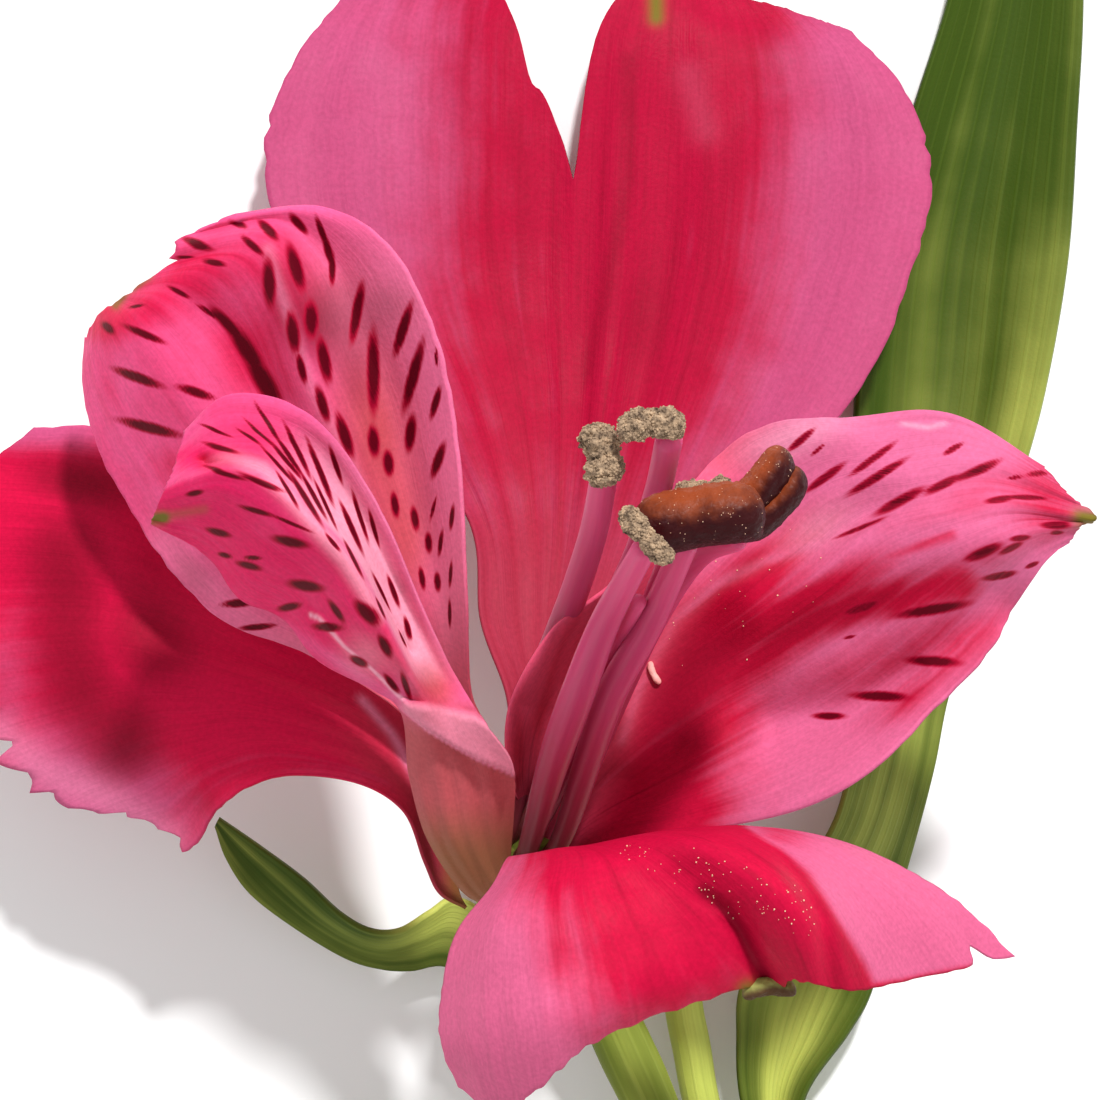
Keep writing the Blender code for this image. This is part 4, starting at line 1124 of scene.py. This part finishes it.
# %% The six filaments and the style
FILAMENT_SQUARES = (28, 90)
FILAMENTS = {
    "filament_1": ([(490, 872, 18), (510, 825, 18.4), (524, 760, 18.6), (537, 690, 20), (557, 638, 23),
                    (576, 588, 29), (594, 530, 37), (604, 476, 44.5)], (0.45, 0.85, 0.8)),
    "filament_2": ([(499, 853, 17.4), (538, 800, 19), (562, 735, 21.6), (588, 670, 25.4), (611, 610, 29.6),
                    (638, 550, 34.5), (658, 490, 40.5), (669, 440, 46.4)], (0.4, 0.7, 0.8)),
    "filament_3": ([(516, 883, 18.3), (534, 830, 22.3), (554, 760, 27.4), (579, 690, 32.4), (606, 620, 37.8),
                    (644, 549, 47.1)], (0.45, 1.02, 0.72)),
    "filament_4": ([(537, 880, 18.5), (564, 832, 22), (588, 760, 26), (613, 690, 31), (651, 620, 36.4),
                    (685, 545, 42.8)], (0.45, 0.9, 0.75)),
    "filament_5": ([(540, 862, 17.5), (566, 829, 19.5), (592, 762, 22.4), (622, 690, 26.6), (650, 630, 30.4),
                    (680, 580, 34.4), (706, 552, 38), (737, 541, 40.8)], (0.4, 0.7, 0.6)),
    "filament_6": ([(520, 849, 17.1), (546, 815, 18.3), (580, 745, 20.9), (612, 690, 23.6), (640, 630, 27),
                    (664, 570, 32), (680, 530, 36), (688, 505, 39.4)], (0.4, 0.6, 0.6)),
    "style": ([(512, 864, 17.8), (542, 823, 20.3), (570, 762, 23.8), (594, 690, 28.4), (620, 637, 34),
               (638, 602, 38.5)], (0.35, 0.42, 0.5)),
}


def tapered(radii, flat=0.0):
    """radius(u, v) of a tube that changes from foot to middle to tip."""
    return lambda u, v: smooth(np.array(radii), v) * (1 + flat * np.cos(2 * math.pi * u))


for name, (path, radii) in FILAMENTS.items():
    piece, u, v = roll(name + "_skin", *FILAMENT_SQUARES, placed(path), tapered(radii))
    mark(piece, along=v)
    seal(piece)
    finish(piece, name, "filament", filament_skin)
print("filaments and style:", len(FILAMENTS))

# %% [markdown]
# ## Pollen sacs
#
# Two sacs are ripe and still closed: brown, smooth and made of two long lobes with a
# groove between them. The other four have opened and shed, and are crumbly grey lumps.
# Their roughness is real geometry: hundreds of pollen grains of 20 faces each, set over
# the lump by a seeded draw.
# The ripe sacs are painted lighter on their upper side and darker below, as painted light and shade.

# %% Paint for pollen sacs
def sac_paint(name, light, dark, gloss, scale, upward=0.0):
    """Brown or grey, mottled, finely pitted, and lighter towards the mark upper, by upward, as painted light
    on the upper side.
    """
    material, tree = new_material(name)
    mottle = grain(tree, scale, 4, 0.65)
    pits = grain(tree, 5000, 2)
    tone = added(tree, mottle, (marked(tree, "upper"), upward))
    body = mixed(tree, ramp(tree, tone, -0.3, 0.3), colour(*dark), colour(*light))
    coat(tree, body, ramp(tree, pits, -0.2, 0.2, gloss, gloss + 0.25), pits, 0.6, 0.00008, 0.15)
    return material


# Ripe sacs: light and dark browns, mixed by mottling and by painted light on the upper side.
ripe_skin = sac_paint("ripe_sac", (142, 62, 28), (52, 6, 10), 0.4, 420, 0.6)
shed_skin = sac_paint("shed_sac", (206, 176, 144), (56, 40, 36), 0.8, 1800)
pollen_skin = sac_paint("pollen_grain", (240, 204, 176), (212, 158, 128), 0.75, 2500)
print("paints made:", ripe_skin.name, shed_skin.name, pollen_skin.name)

# %% Lobes and grains
def lobe(name, centre, heading, length, width, height, bend, aside, rise, roughness, seed):
    """A bean: a UV sphere drawn out, bent and roughened, at its place on the sheet."""
    select_only()
    bpy.ops.mesh.primitive_uv_sphere_add(segments=56, ring_count=40, radius=1, rotation=(0, math.pi / 2, 0))
    bpy.ops.object.transform_apply(rotation=True)
    piece = bpy.context.object
    piece.name = name
    turn = math.radians(heading)
    middle = placed(centre)
    # The mark upper grows towards one side, for painted light on that side.
    mark(piece, upper=[vertex.co.y - 0.25 for vertex in piece.data.vertices])
    for vertex in piece.data.vertices:
        x, y, z = vertex.co
        blunt = math.sqrt(1 + x * x + x ** 4)
        swell = 1 + roughness * noise.noise((x * length * 1.4 + seed, y * width * 1.4, z * height * 1.4))
        swell += 0.4 * roughness * noise.noise((x * length * 4, y * width * 4 + seed, z * height * 4))
        swell -= 0.6 * roughness * math.exp(-(x / 0.25) ** 2)
        along = x * length / 2
        side = y * width / 2 * swell * blunt + bend * (x * x - 0.5) + aside
        up = z * height / 2 * swell * blunt + rise
        vertex.co = (middle[0] + (along * math.cos(turn) - side * math.sin(turn)) * MM,
                     middle[1] + (along * math.sin(turn) + side * math.cos(turn)) * MM,
                     middle[2] + up * MM)
    return piece


def grains_on(piece, name, count, smallest, largest, seed, lift=0.2, chosen=None):
    """Pollen grains strewn over a piece's faces, as one mesh.

    Blender lists a sphere's faces and corners in another order in each run. So where all
    faces may be drawn from, they are sorted by place first, and the draw always falls alike.
    """
    draw = np.random.default_rng(seed)
    mesh = piece.data
    faces = [face for face in mesh.polygons if chosen is None or chosen(face)]
    outlines = {face: [tuple(mesh.vertices[index].co) for index in face.vertices] for face in faces}
    if chosen is None:
        outlines = {face: sorted(outline) for face, outline in outlines.items()}
        faces.sort(key=outlines.get)
    areas = np.array([face.area for face in faces])
    picked = draw.choice(len(faces), size=count, p=areas / areas.sum())
    select_only()
    bpy.ops.mesh.primitive_ico_sphere_add(subdivisions=1, radius=1)
    ball = bpy.context.object
    corners = np.array([vertex.co for vertex in ball.data.vertices])
    triangles = np.array([face.vertices for face in ball.data.polygons])
    bpy.data.objects.remove(ball, do_unlink=True)
    points = []
    for index in picked:
        face = faces[index]
        shares = draw.dirichlet(np.ones(len(face.vertices)))
        spot = sum(np.array(corner) * share for corner, share in zip(outlines[face], shares))
        size = draw.uniform(smallest, largest) * MM
        shape = corners * draw.uniform(0.75, 1.25, 3) * size
        points.append(shape + spot + np.array(face.normal) * size * lift)
    shifts = np.arange(count)[:, None, None] * len(corners)
    strewn = bpy.data.meshes.new(name)
    strewn.from_pydata(np.concatenate(points).tolist(), [], (triangles + shifts).reshape(-1, 3).tolist())
    grains = bpy.data.objects.new(name, strewn)
    bpy.context.scene.collection.objects.link(grains)
    return grains


def joined(first, *others):
    """Joins pieces into the first one."""
    select_only(*others, first)
    bpy.ops.object.join()
    return first


print("lobes can now be made, strewn with grains and joined")


# %% The pollen sacs
ANTHERS = {
    "anther_1": ((601, 455, 46), 100, 3.6, 2.1, 0.2),
    "anther_2": ((651, 425, 48), 4, 3.8, 1.75, -0.2),
    "anther_3": ((646, 536, 48.4), -48, 4.0, 1.25, 0.1),
    "anther_4": ((699, 519, 45.2), 9, 7.6, 3.6, -0.3),
    "anther_5": ((762, 496, 42.6), 46, 5.8, 3.5, 0.4),
    "anther_6": ((706, 495, 41.2), 4, 3.6, 1.7, 0.0),
}
RIPE = {"anther_4": (0.97, 0.42), "anther_5": (0.66, 0.56)}
RIPE_ROUGHNESS = 0.08
SHED_ROUGHNESS = 0.35
DUST = (150, 0.015, 0.038)
CRUST = (1000, 0.05, 0.11)

for number, (name, (centre, heading, length, width, bend)) in enumerate(ANTHERS.items()):
    if name in RIPE:
        near, far = RIPE[name]
        upper = lobe(name + "_skin", centre, heading, length, width * near, width * 0.95, bend,
                     width * (1 - near) / 2, 0.1, RIPE_ROUGHNESS, number)
        lower = lobe(name + "_lobe", centre, heading, length * 0.93, width * far, width * 0.8, bend,
                     -width * (1 - far) / 2, -0.35, RIPE_ROUGHNESS, number + 9)
        dust = grains_on(upper, name + "_dust", *DUST, number)
        parts = {upper: ripe_skin, lower: ripe_skin, dust: pollen_skin}
        slot = "anther_ripe"
    else:
        body = lobe(name + "_skin", centre, heading, length, width, width, bend,
                    0, 0, SHED_ROUGHNESS, number)
        crust = grains_on(body, name + "_crust", *CRUST, number)
        parts = {body: shed_skin, crust: shed_skin}
        slot = "anther_shed"
    for piece, skin in parts.items():
        piece.data.materials.append(skin)
    finish(joined(*parts), name, slot)
print("pollen sacs:", len(ANTHERS))

# %% [markdown]
# ## Green parts
#
# The stalks are smooth and waxy, with faint ribs. The leaves of this plant are narrow,
# with many veins that run side by side from foot to tip, and they twist at their foot so
# that their underside faces up. Their paint uses the same streaks as the petals, with
# the veins paler than the blade.

# %% Paint for stalks and leaves
CUT_COLOUR = (196, 206, 140)


def green_paint(name, dark, light, vein, across, vein_share, gloss):
    """A green skin with lengthwise streaks, paler veins and a soft gloss."""
    material, tree = new_material(name)
    coarse = streak(tree, across * 0.35, 1.4, 31)
    fine = streak(tree, across * 3, 4, 37)
    cloud = grain(tree, 120, 3)
    cells = grain(tree, 4200, 1)
    # The mark light moves the colour towards the light green: paler parts, and painted light where shade
    # falls on a leaf or stalk.
    spread = added(tree, coarse, (cloud, 0.5), marked(tree, "light"))
    body = mixed(tree, ramp(tree, spread, -0.2, 1.0), colour(*dark), colour(*light))
    place = put(tree, "ShaderNodeUVMap", uv_map="UVMap").outputs[0]
    round_it = put(tree, "ShaderNodeSeparateXYZ", {0: place}).outputs[0]
    wave = maths(tree, "SINE", times(tree, round_it, across * 2 * math.pi))
    ribs = ramp(tree, added(tree, wave, (coarse, 1.2)), 0.55, 1.05)
    body = mixed(tree, times(tree, ribs, vein_share), body, colour(*vein))
    body = mixed(tree, marked(tree, "cut"), body, colour(*CUT_COLOUR))
    body = dimmed(tree, body, ramp(tree, fine, -0.3, 0.3, 0.93, 1.06))
    roughness = ramp(tree, cloud, -0.3, 0.3, gloss, gloss + 0.15)
    coat(tree, body, roughness, added(tree, (ribs, 0.5), (cells, 0.4)), 0.35, 0.00012, 0.12)
    return material


leaf_face = green_paint("leaf_face", (56, 76, 14), (196, 204, 98), (104, 124, 42), 13, 0.1, 0.42)
leaf_back = green_paint("leaf_back", (92, 112, 42), (134, 152, 72), (146, 162, 88), 13, 0.3, 0.55)
stalk_skin = green_paint("stalk_skin", (92, 106, 30), (188, 198, 92), (158, 168, 80), 12, 0.2, 0.42)
print("paints made:", leaf_face.name, leaf_back.name, stalk_skin.name)

# %% The leaves beside the bloom
LEAF_THICKNESS = 0.4
CURLED_LEAF_SQUARES = (24, 80)
LONG_LEAF_SQUARES = (40, 180)


def leaf(piece, node, points, light):
    """Lays a leaf's sheet, with light green where the mark says so, in places as painted light."""
    lay(piece, points)
    mark(piece, light=light, cut=0 * light)
    thicken(piece, LEAF_THICKNESS, leaf_face, leaf_back)
    finish(piece, node, "leaf")


BRACT_LEFT = {
    "upper edge": [(561, 996, 5.4), (520, 960, 3.4), (488, 915, 3.4), (455, 898, 4), (430, 912, 4.6),
                   (400, 930, 5), (370, 930, 5.4), (340, 913, 5.9), (305, 880, 6.2), (262, 848, 6.5),
                   (219, 818, 6.8)],
    "rib": [(561, 1004, 5.1), (520, 983, 3), (486, 953, 2.6), (450, 932, 2.8), (420, 941, 3.2),
            (390, 949, 3.7), (358, 943, 4.3), (318, 920, 5), (278, 886, 5.6), (244, 853, 6.1),
            (217, 822, 6.7)],
    "lower edge": [(561, 1012, 5), (520, 1005, 3), (485, 990, 2.4), (445, 966, 2.2), (410, 970, 2.6),
                   (380, 968, 3.2), (345, 957, 3.8), (295, 927, 4.6), (250, 893, 5.4), (226, 858, 6),
                   (215, 826, 6.6)],
}
LONG_LEAF_RIGHT = {
    "left edge": [(777, 1282, 3.6), (768, 1195, 3.6), (742, 1100, 3.6), (738, 1035, 3.8), (742, 985, 4.4),
                  (775, 905, 6), (828, 835, 6.5), (850, 770, 5.5), (868, 690, 4.2), (872, 600, 3.4),
                  (858, 495, 3), (855, 400, 2.6), (872, 260, 2.2), (910, 120, 2), (948, 0, 2),
                  (978, -130, 2.2), (1008, -260, 2.4), (1032, -350, 2.5)],
    "rib": [(781, 1283, 3), (780, 1195, 2.6), (773, 1100, 2), (785, 1035, 1.8), (803, 980, 2.2),
            (833, 905, 4.2), (870, 838, 4.5), (892, 768, 3.6), (908, 690, 2.6), (928, 600, 1.8),
            (938, 492, 1), (952, 392, 0.5), (965, 257, 0.36), (992, 115, 0.4), (1015, -5, 0.7),
            (1030, -135, 1.2), (1035, -262, 2), (1036, -352, 2.4)],
    "right edge": [(785, 1284, 3.4), (793, 1195, 3.4), (803, 1100, 3.6), (848, 1033, 3.6), (872, 990, 3.2),
                   (893, 912, 2.2), (913, 842, 2.2), (933, 768, 2.2), (950, 690, 2), (985, 600, 2.2),
                   (1018, 490, 2.4), (1045, 390, 2.6), (1068, 257, 2.4), (1077, 120, 2.2), (1083, 0, 2),
                   (1080, -130, 2), (1060, -262, 2.2), (1040, -352, 2.5)],
}

piece, u, v = sheet("curled_leaf", *CURLED_LEAF_SQUARES)
# Lighter towards the foot, as painted light where the bloom's shade falls on it.
light = 0.05 + fade(v, 0.34, 0.62) * (0.15 + 0.75 * fade(u, -0.7, 0.3))
leaf(piece, "bract_leaf_left", surface(BRACT_LEFT, u, v), light)

piece, u, v = sheet("long_leaf", *LONG_LEAF_SQUARES)
# Painted light at the foot, where the bloom's shade falls on it; a lighter band and patch further up, and
# darker towards the far end.
light = 0.08 * hump(u, 0.1, 0.12) + 0.04 * soft(u, 0.2, 0.9) - 0.2 * soft(v, 0.69, 0.78)
light += 0.7 * fade(v, 0.14, 0.3) * hump(u, 0.1, 0.6) + 0.24 * hump(v, 0.38, 0.11)
light += 0.36 * hump(v, 0.63, 0.055) * soft(u, 0.35, 0.75)
leaf(piece, "long_leaf_right", surface(LONG_LEAF_RIGHT, u, v), light)
print("leaves beside the bloom: 2")

# %% The main stalk
STEM_LENGTH = 145.0
STEM_RADIUS = 2.4
NODE_RADIUS = 2.9
NODE_SPREAD = 4.0
WHORL_DEPTH = 20.0
STEM_TOP = (10.9, -45.3)
STEM_DRIFT = -9.0
STEM_BOW = 2.0
STEM_LIE = math.cos(math.pi / 10)
STEM_RIB = 0.01
STEM_LIGHT = 0.2
STEM_SQUARES = (48, 340)
STEM_END_ROUNDNESS = (0.0, 0.6)
STEM_LEAVES = {
    "whorl_leaf_1": (2.4, -1, 184, 55, 10.5, 5.0, -3.0),
    "whorl_leaf_2": (5.6, 1, -9, 56, 10.5, 5.0, 3.0),
    "whorl_leaf_3": (6.8, -1, 224, 60, 11.5, 6.0, 5.0),
    "whorl_leaf_4": (10.0, 1, -47, 57, 11.0, 6.0, -5.0),
    "stem_leaf_1": (35, -1, 232, 64, 11.5, 7.0, -4.0),
    "stem_leaf_2": (56, 1, -54, 60, 11.0, 7.0, 4.0),
    "stem_leaf_3": (82, -1, 234, 52, 10.0, 6.0, -4.0),
}


def stem_centre(below):
    """Across and up of the main stalk's middle, in millimetres, at a distance below its top."""
    t = below / STEM_LENGTH
    return STEM_TOP[0] + STEM_DRIFT * t + STEM_BOW * np.sin(math.pi * t), STEM_TOP[1] - below


def stem_radius(below):
    """Radius of the main stalk, which swells at its top and where a single leaf starts."""
    nodes = [0] + [measures[0] for measures in STEM_LEAVES.values() if measures[0] > WHORL_DEPTH]
    swell = most(*[hump(below, node, NODE_SPREAD) for node in nodes])
    return STEM_RADIUS + (NODE_RADIUS - STEM_RADIUS) * swell


def stem_width(u, v):
    """radius(u, v) of the main stalk, with eight faint ribs."""
    ribs = STEM_RIB * (2 * np.cos(8 * math.pi * u) - 1)
    return stem_radius(STEM_LENGTH * (1 - v)) * (STEM_LIE + ribs)


def green_tube(name, node, size, path, radius, light, rib_light=0.0, bulge=(1.0, 1.0)):
    """A rolled green piece, lighter along six ribs if asked. A flat foot shows the pale cut."""
    piece, u, v = roll(name, *size, path, radius, bulge)
    mark(piece, light=light + rib_light * np.cos(6 * math.pi * u), cut=(v <= 0) & (bulge[0] == 0))
    seal(piece)
    finish(piece, node, "stalk", stalk_skin)
    print(name, "has", len(piece.data.polygons), "faces")


below = STEM_LENGTH * (1 - np.linspace(0, 1, 60))
stem_path = settled(*stem_centre(below), stem_radius(below) * STEM_LIE)
green_tube("main_stalk", "main_stem", STEM_SQUARES, stem_path, stem_width, STEM_LIGHT,
           bulge=STEM_END_ROUNDNESS)

# %% The leaves on the stalk
LEAF_STALK_WIDTH = 1.6
LEAF_TIP_WIDTH = 0.5
LEAF_FOLD = 0.16
LEAF_TWIST = 80.0
LEAF_TWIST_END = 0.22
LEAF_SEAT_GAP = 0.7
LEAF_REST = 0.35
BLADE_SQUARES = (24, 90)


def stem_leaf(below, side, heading, length, width, lift, bend, u, v):
    """Points of a leaf that leaves the stalk on one side, arches and turns over."""
    x, y = stem_centre(below)
    radius = stem_radius(below)
    start = x + side * (radius + LEAF_SEAT_GAP)
    angle = math.radians(heading)
    blade = np.sin(math.pi * np.minimum(1.0, v ** 0.75)) ** 0.85
    half = (LEAF_STALK_WIDTH * (1 - v) + LEAF_TIP_WIDTH * v + (width - LEAF_STALK_WIDTH) * blade) / 2
    turn = math.radians(LEAF_TWIST) * np.maximum(0.0, 1 - v / LEAF_TWIST_END) ** 2
    height = radius * (1 - v) ** 2 + LEAF_REST + lift * np.sin(math.pi * v) * (1 - 0.35 * v)
    height = height + half * u * np.sin(turn) + LEAF_FOLD * abs(u) * half * np.cos(turn)
    ahead = length * v
    aside = bend * np.sin(math.pi * v) + half * u * np.cos(turn)
    x = start + ahead * math.cos(angle) - aside * math.sin(angle)
    y = y + ahead * math.sin(angle) + aside * math.cos(angle)
    return settled(x, y, height)


for name, measures in STEM_LEAVES.items():
    piece, u, v = sheet(name + "_blade", *BLADE_SQUARES)
    leaf(piece, name, stem_leaf(*measures, u, v), 0.25 * hump(u, 0, 0.08) + 0.35 * fade(v, 0.05, 0.2))
print("leaves on the stalk:", len(STEM_LEAVES))

# %% [markdown]
# ## Flower stalks, ovaries and the bud
#
# Each flower has its own thin stalk, and on it a green ovary with six ribs. The bud's
# three outer tepals still wrap it, so it is a rolled sheet too, with three swellings and
# three seams, pink in the middle and green at its tip.

# %% Flower stalks and ovaries
OVARY_FOOT = (528, 945, 7.8)
THROAT = (517, 852, 18.4)
OVARY_RADIUS = 3.0
OVARY_RIB = 0.07
OVARY_RIB_LIGHT = 0.3
PEDICEL_BLOOM = [(700, 1253, 3.4), (683, 1185, 5), (649, 1100, 5.8), (628, 1055, 6.2), (603, 1005, 6.4),
                 (575, 975, 6.6), (541, 957, 7.0)]
PEDICEL_BLOOM_RADII = (1.35, 1.85, 1.3)
PEDICEL_BUD = [(748, 1253, 3.2), (724, 1185, 2.6), (701, 1100, 3), (692, 1050, 3.4), (684, 1008, 3.7),
               (680, 960, 4.1), (686, 905, 4.5), (699, 862, 4.8)]
PEDICEL_BUD_RADII = (1.05, 1.25, 1.0)
PEDICEL_FLAT = 0.02
BUD_OVARY_FOOT = (700, 856, 4.8)
BUD_OVARY_TOP = (712, 820, 5.0)
BUD_OVARY_RADIUS = 1.9


def straight(foot, top):
    """A path of four points between two drawn ones."""
    ends = placed([foot, top])
    return ends[0] + (ends[1] - ends[0]) * np.linspace(0, 1, 4)[:, None]


def oval(v):
    """The half width of an oval with a half width of 1, from foot to tip."""
    return np.sqrt(np.clip(1 - (2 * v - 1) ** 2, 0, 1))


def ribbed(radius):
    """radius(u, v) of an ovary: it keeps its width to the top, and has six ribs."""
    def width(u, v):
        rib = 1 + OVARY_RIB * np.cos(6 * math.pi * u)
        return radius * oval(v) * (0.86 + 0.14 * v + 0.55 * v ** 6) * rib
    return width


# The bud stalk's light of 0.9 is painted light where the bloom's shade falls on it.
green_tube("bloom_stalk", "pedicel_bloom", (40, 120), placed(PEDICEL_BLOOM),
           tapered(PEDICEL_BLOOM_RADII, PEDICEL_FLAT), 0.15)
green_tube("bud_stalk", "pedicel_bud", (36, 120), placed(PEDICEL_BUD),
           tapered(PEDICEL_BUD_RADII, PEDICEL_FLAT), 0.9)
green_tube("ribbed_ovary", "ovary", (72, 60), straight(OVARY_FOOT, THROAT), ribbed(OVARY_RADIUS),
           0.0, OVARY_RIB_LIGHT)
green_tube("ribbed_bud_ovary", "bud_ovary", (60, 50), straight(BUD_OVARY_FOOT, BUD_OVARY_TOP),
           ribbed(BUD_OVARY_RADIUS), 0.0, OVARY_RIB_LIGHT)

# %% The closed bud
BUD_FOOT = (714, 812, 5.0)
BUD_TIP = (790, 590, 5.2)
BUD_RADIUS = 3.6
BUD_TWIST = 0.12
BUD_SQUARES = (120, 140)


def wrapped(u, v):
    """How far across its own wrapped tepal a point is, from 0 to 1, and how far from the nearest seam."""
    turn = np.mod((u + BUD_TWIST * v) * 1.5, 1)
    return turn, np.minimum(turn, 1 - turn)


def bud_width(u, v):
    """Three wrapped tepals: three swellings with a narrow seam between them."""
    full = 1.08 - 0.42 * (2 * v - 1.1) ** 2 * np.where(v > 0.55, 1, 0.4)
    turn, from_seam = wrapped(u, v)
    step = 0.05 * turn - 0.1 * hump(from_seam, 0, 0.035)
    return BUD_RADIUS * oval(v) * full * (0.97 + step + 0.04 * np.cos(3 * math.pi * u) * v)


piece, u, v = roll("closed_bud", *BUD_SQUARES, straight(BUD_FOOT, BUD_TIP), bud_width)
seams = hump(wrapped(u, v)[1], 0, 0.05)
mark(piece, deep=np.clip(soft(v, 0.25, 0.7) * 0.8 - seams * 0.5, 0, 1), claw=fade(v, 0.05, 0.35) * 0.8,
     pale=seams * 0.5 * soft(v, 0.1, 0.3), tip=most(soft(v, 0.84, 0.98), fade(v, 0.02, 0.16) * 0.9),
     fleck=0 * v - 1, shade=0 * v)
seal(piece)
finish(piece, "bud", "bud", faces["bottom_tepal"])
print("the bud has", len(piece.data.polygons), "faces")

# %% [markdown]
# ## Spilled pollen and scraps
#
# The open sacs have dropped a dusting of cream grains on the tepals under them. The
# bottom tepal's green tip is curled under its margin, and a thin husk lies in the throat.

# %% Grains on the bottom and right tepals
SPILLED_ON_BOTTOM = [(675, 864, 48, 14, 12, 1.0), (730, 890, 60, 36, 40, 0.4), (800, 910, 26, 50, -20, 0.3)]
SPILLED_ON_RIGHT = [(740, 600, 90, 60, -30, 0.8)]
SPILLED_SIZES = (0.02, 0.055)
SPILLED_LIFT = 0.6


def loose(piece, skin):
    """Gives a small loose piece its skin. It replaces nothing and rides on the whole stem."""
    piece.data.materials.append(skin)
    select_only()
    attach(piece, "root")


def fallen(piece, places, name, count, seed):
    """Grains strewn on the upward faces of a tepal, near some places on the sheet."""
    def chosen(face):
        across, down = drawn(np.array([face.center]))
        return face.normal.z > 0.1 and face.material_index == 0 and spots(across, down, places)[0] > 0.25
    dust = grains_on(piece, name, count, *SPILLED_SIZES, seed, SPILLED_LIFT, chosen)
    loose(dust, pollen_skin)
    print(name, "has", count, "grains")


fallen(bottom_tepal, SPILLED_ON_BOTTOM, "pollen_on_bottom_tepal", 100, 5)
fallen(right_tepal, SPILLED_ON_RIGHT, "pollen_on_right_tepal", 26, 6)

# %% The bottom tepal's green tip, and a husk in the throat
SCRAP_ROUGHNESS = 0.12
SCRAP_SEED = 4

# The tip's paint is lighter on its upper side, as painted light.
tip_skin = sac_paint("tepal_tip", (150, 152, 84), (84, 58, 36), 0.5, 300, 0.7)
husk_skin = sac_paint("husk", (250, 190, 180), (232, 140, 140), 0.6, 900)
SCRAPS = {
    "bottom_tepal_tip": ((769, 989, 34.0), 4, 3.2, 1.2, 1.3, -0.35, tip_skin, "outer_tepal"),
    "husk_in_throat": ((654, 673, 20.7), -66, 1.5, 0.42, 0.4, 0.1, husk_skin, "anther_shed"),
}
for name, (*form, skin, slot) in SCRAPS.items():
    loose(lobe(name, *form, 0, 0, SCRAP_ROUGHNESS, SCRAP_SEED), skin)
print("scraps placed:", len(SCRAPS))

# %% [markdown]
# ## Sizes at the end
#
# The boxes of the measured model and of the finished one are set side by side, and how
# far the finished one grows on each side is printed.

# %% Sizes
visual_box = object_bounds()
for axis in range(3):
    low, high = (visual_box[side][axis] - cad_box[side][axis] for side in (0, 1))
    print("xyz"[axis], "grows by", round(-low * 1000, 2), "and", round(high * 1000, 2), "mm")

meshes = [item.data for item in bpy.data.objects if item.type == "MESH"]
print("triangles in the scene:", sum(len(face.vertices) - 2 for mesh in meshes for face in mesh.polygons))
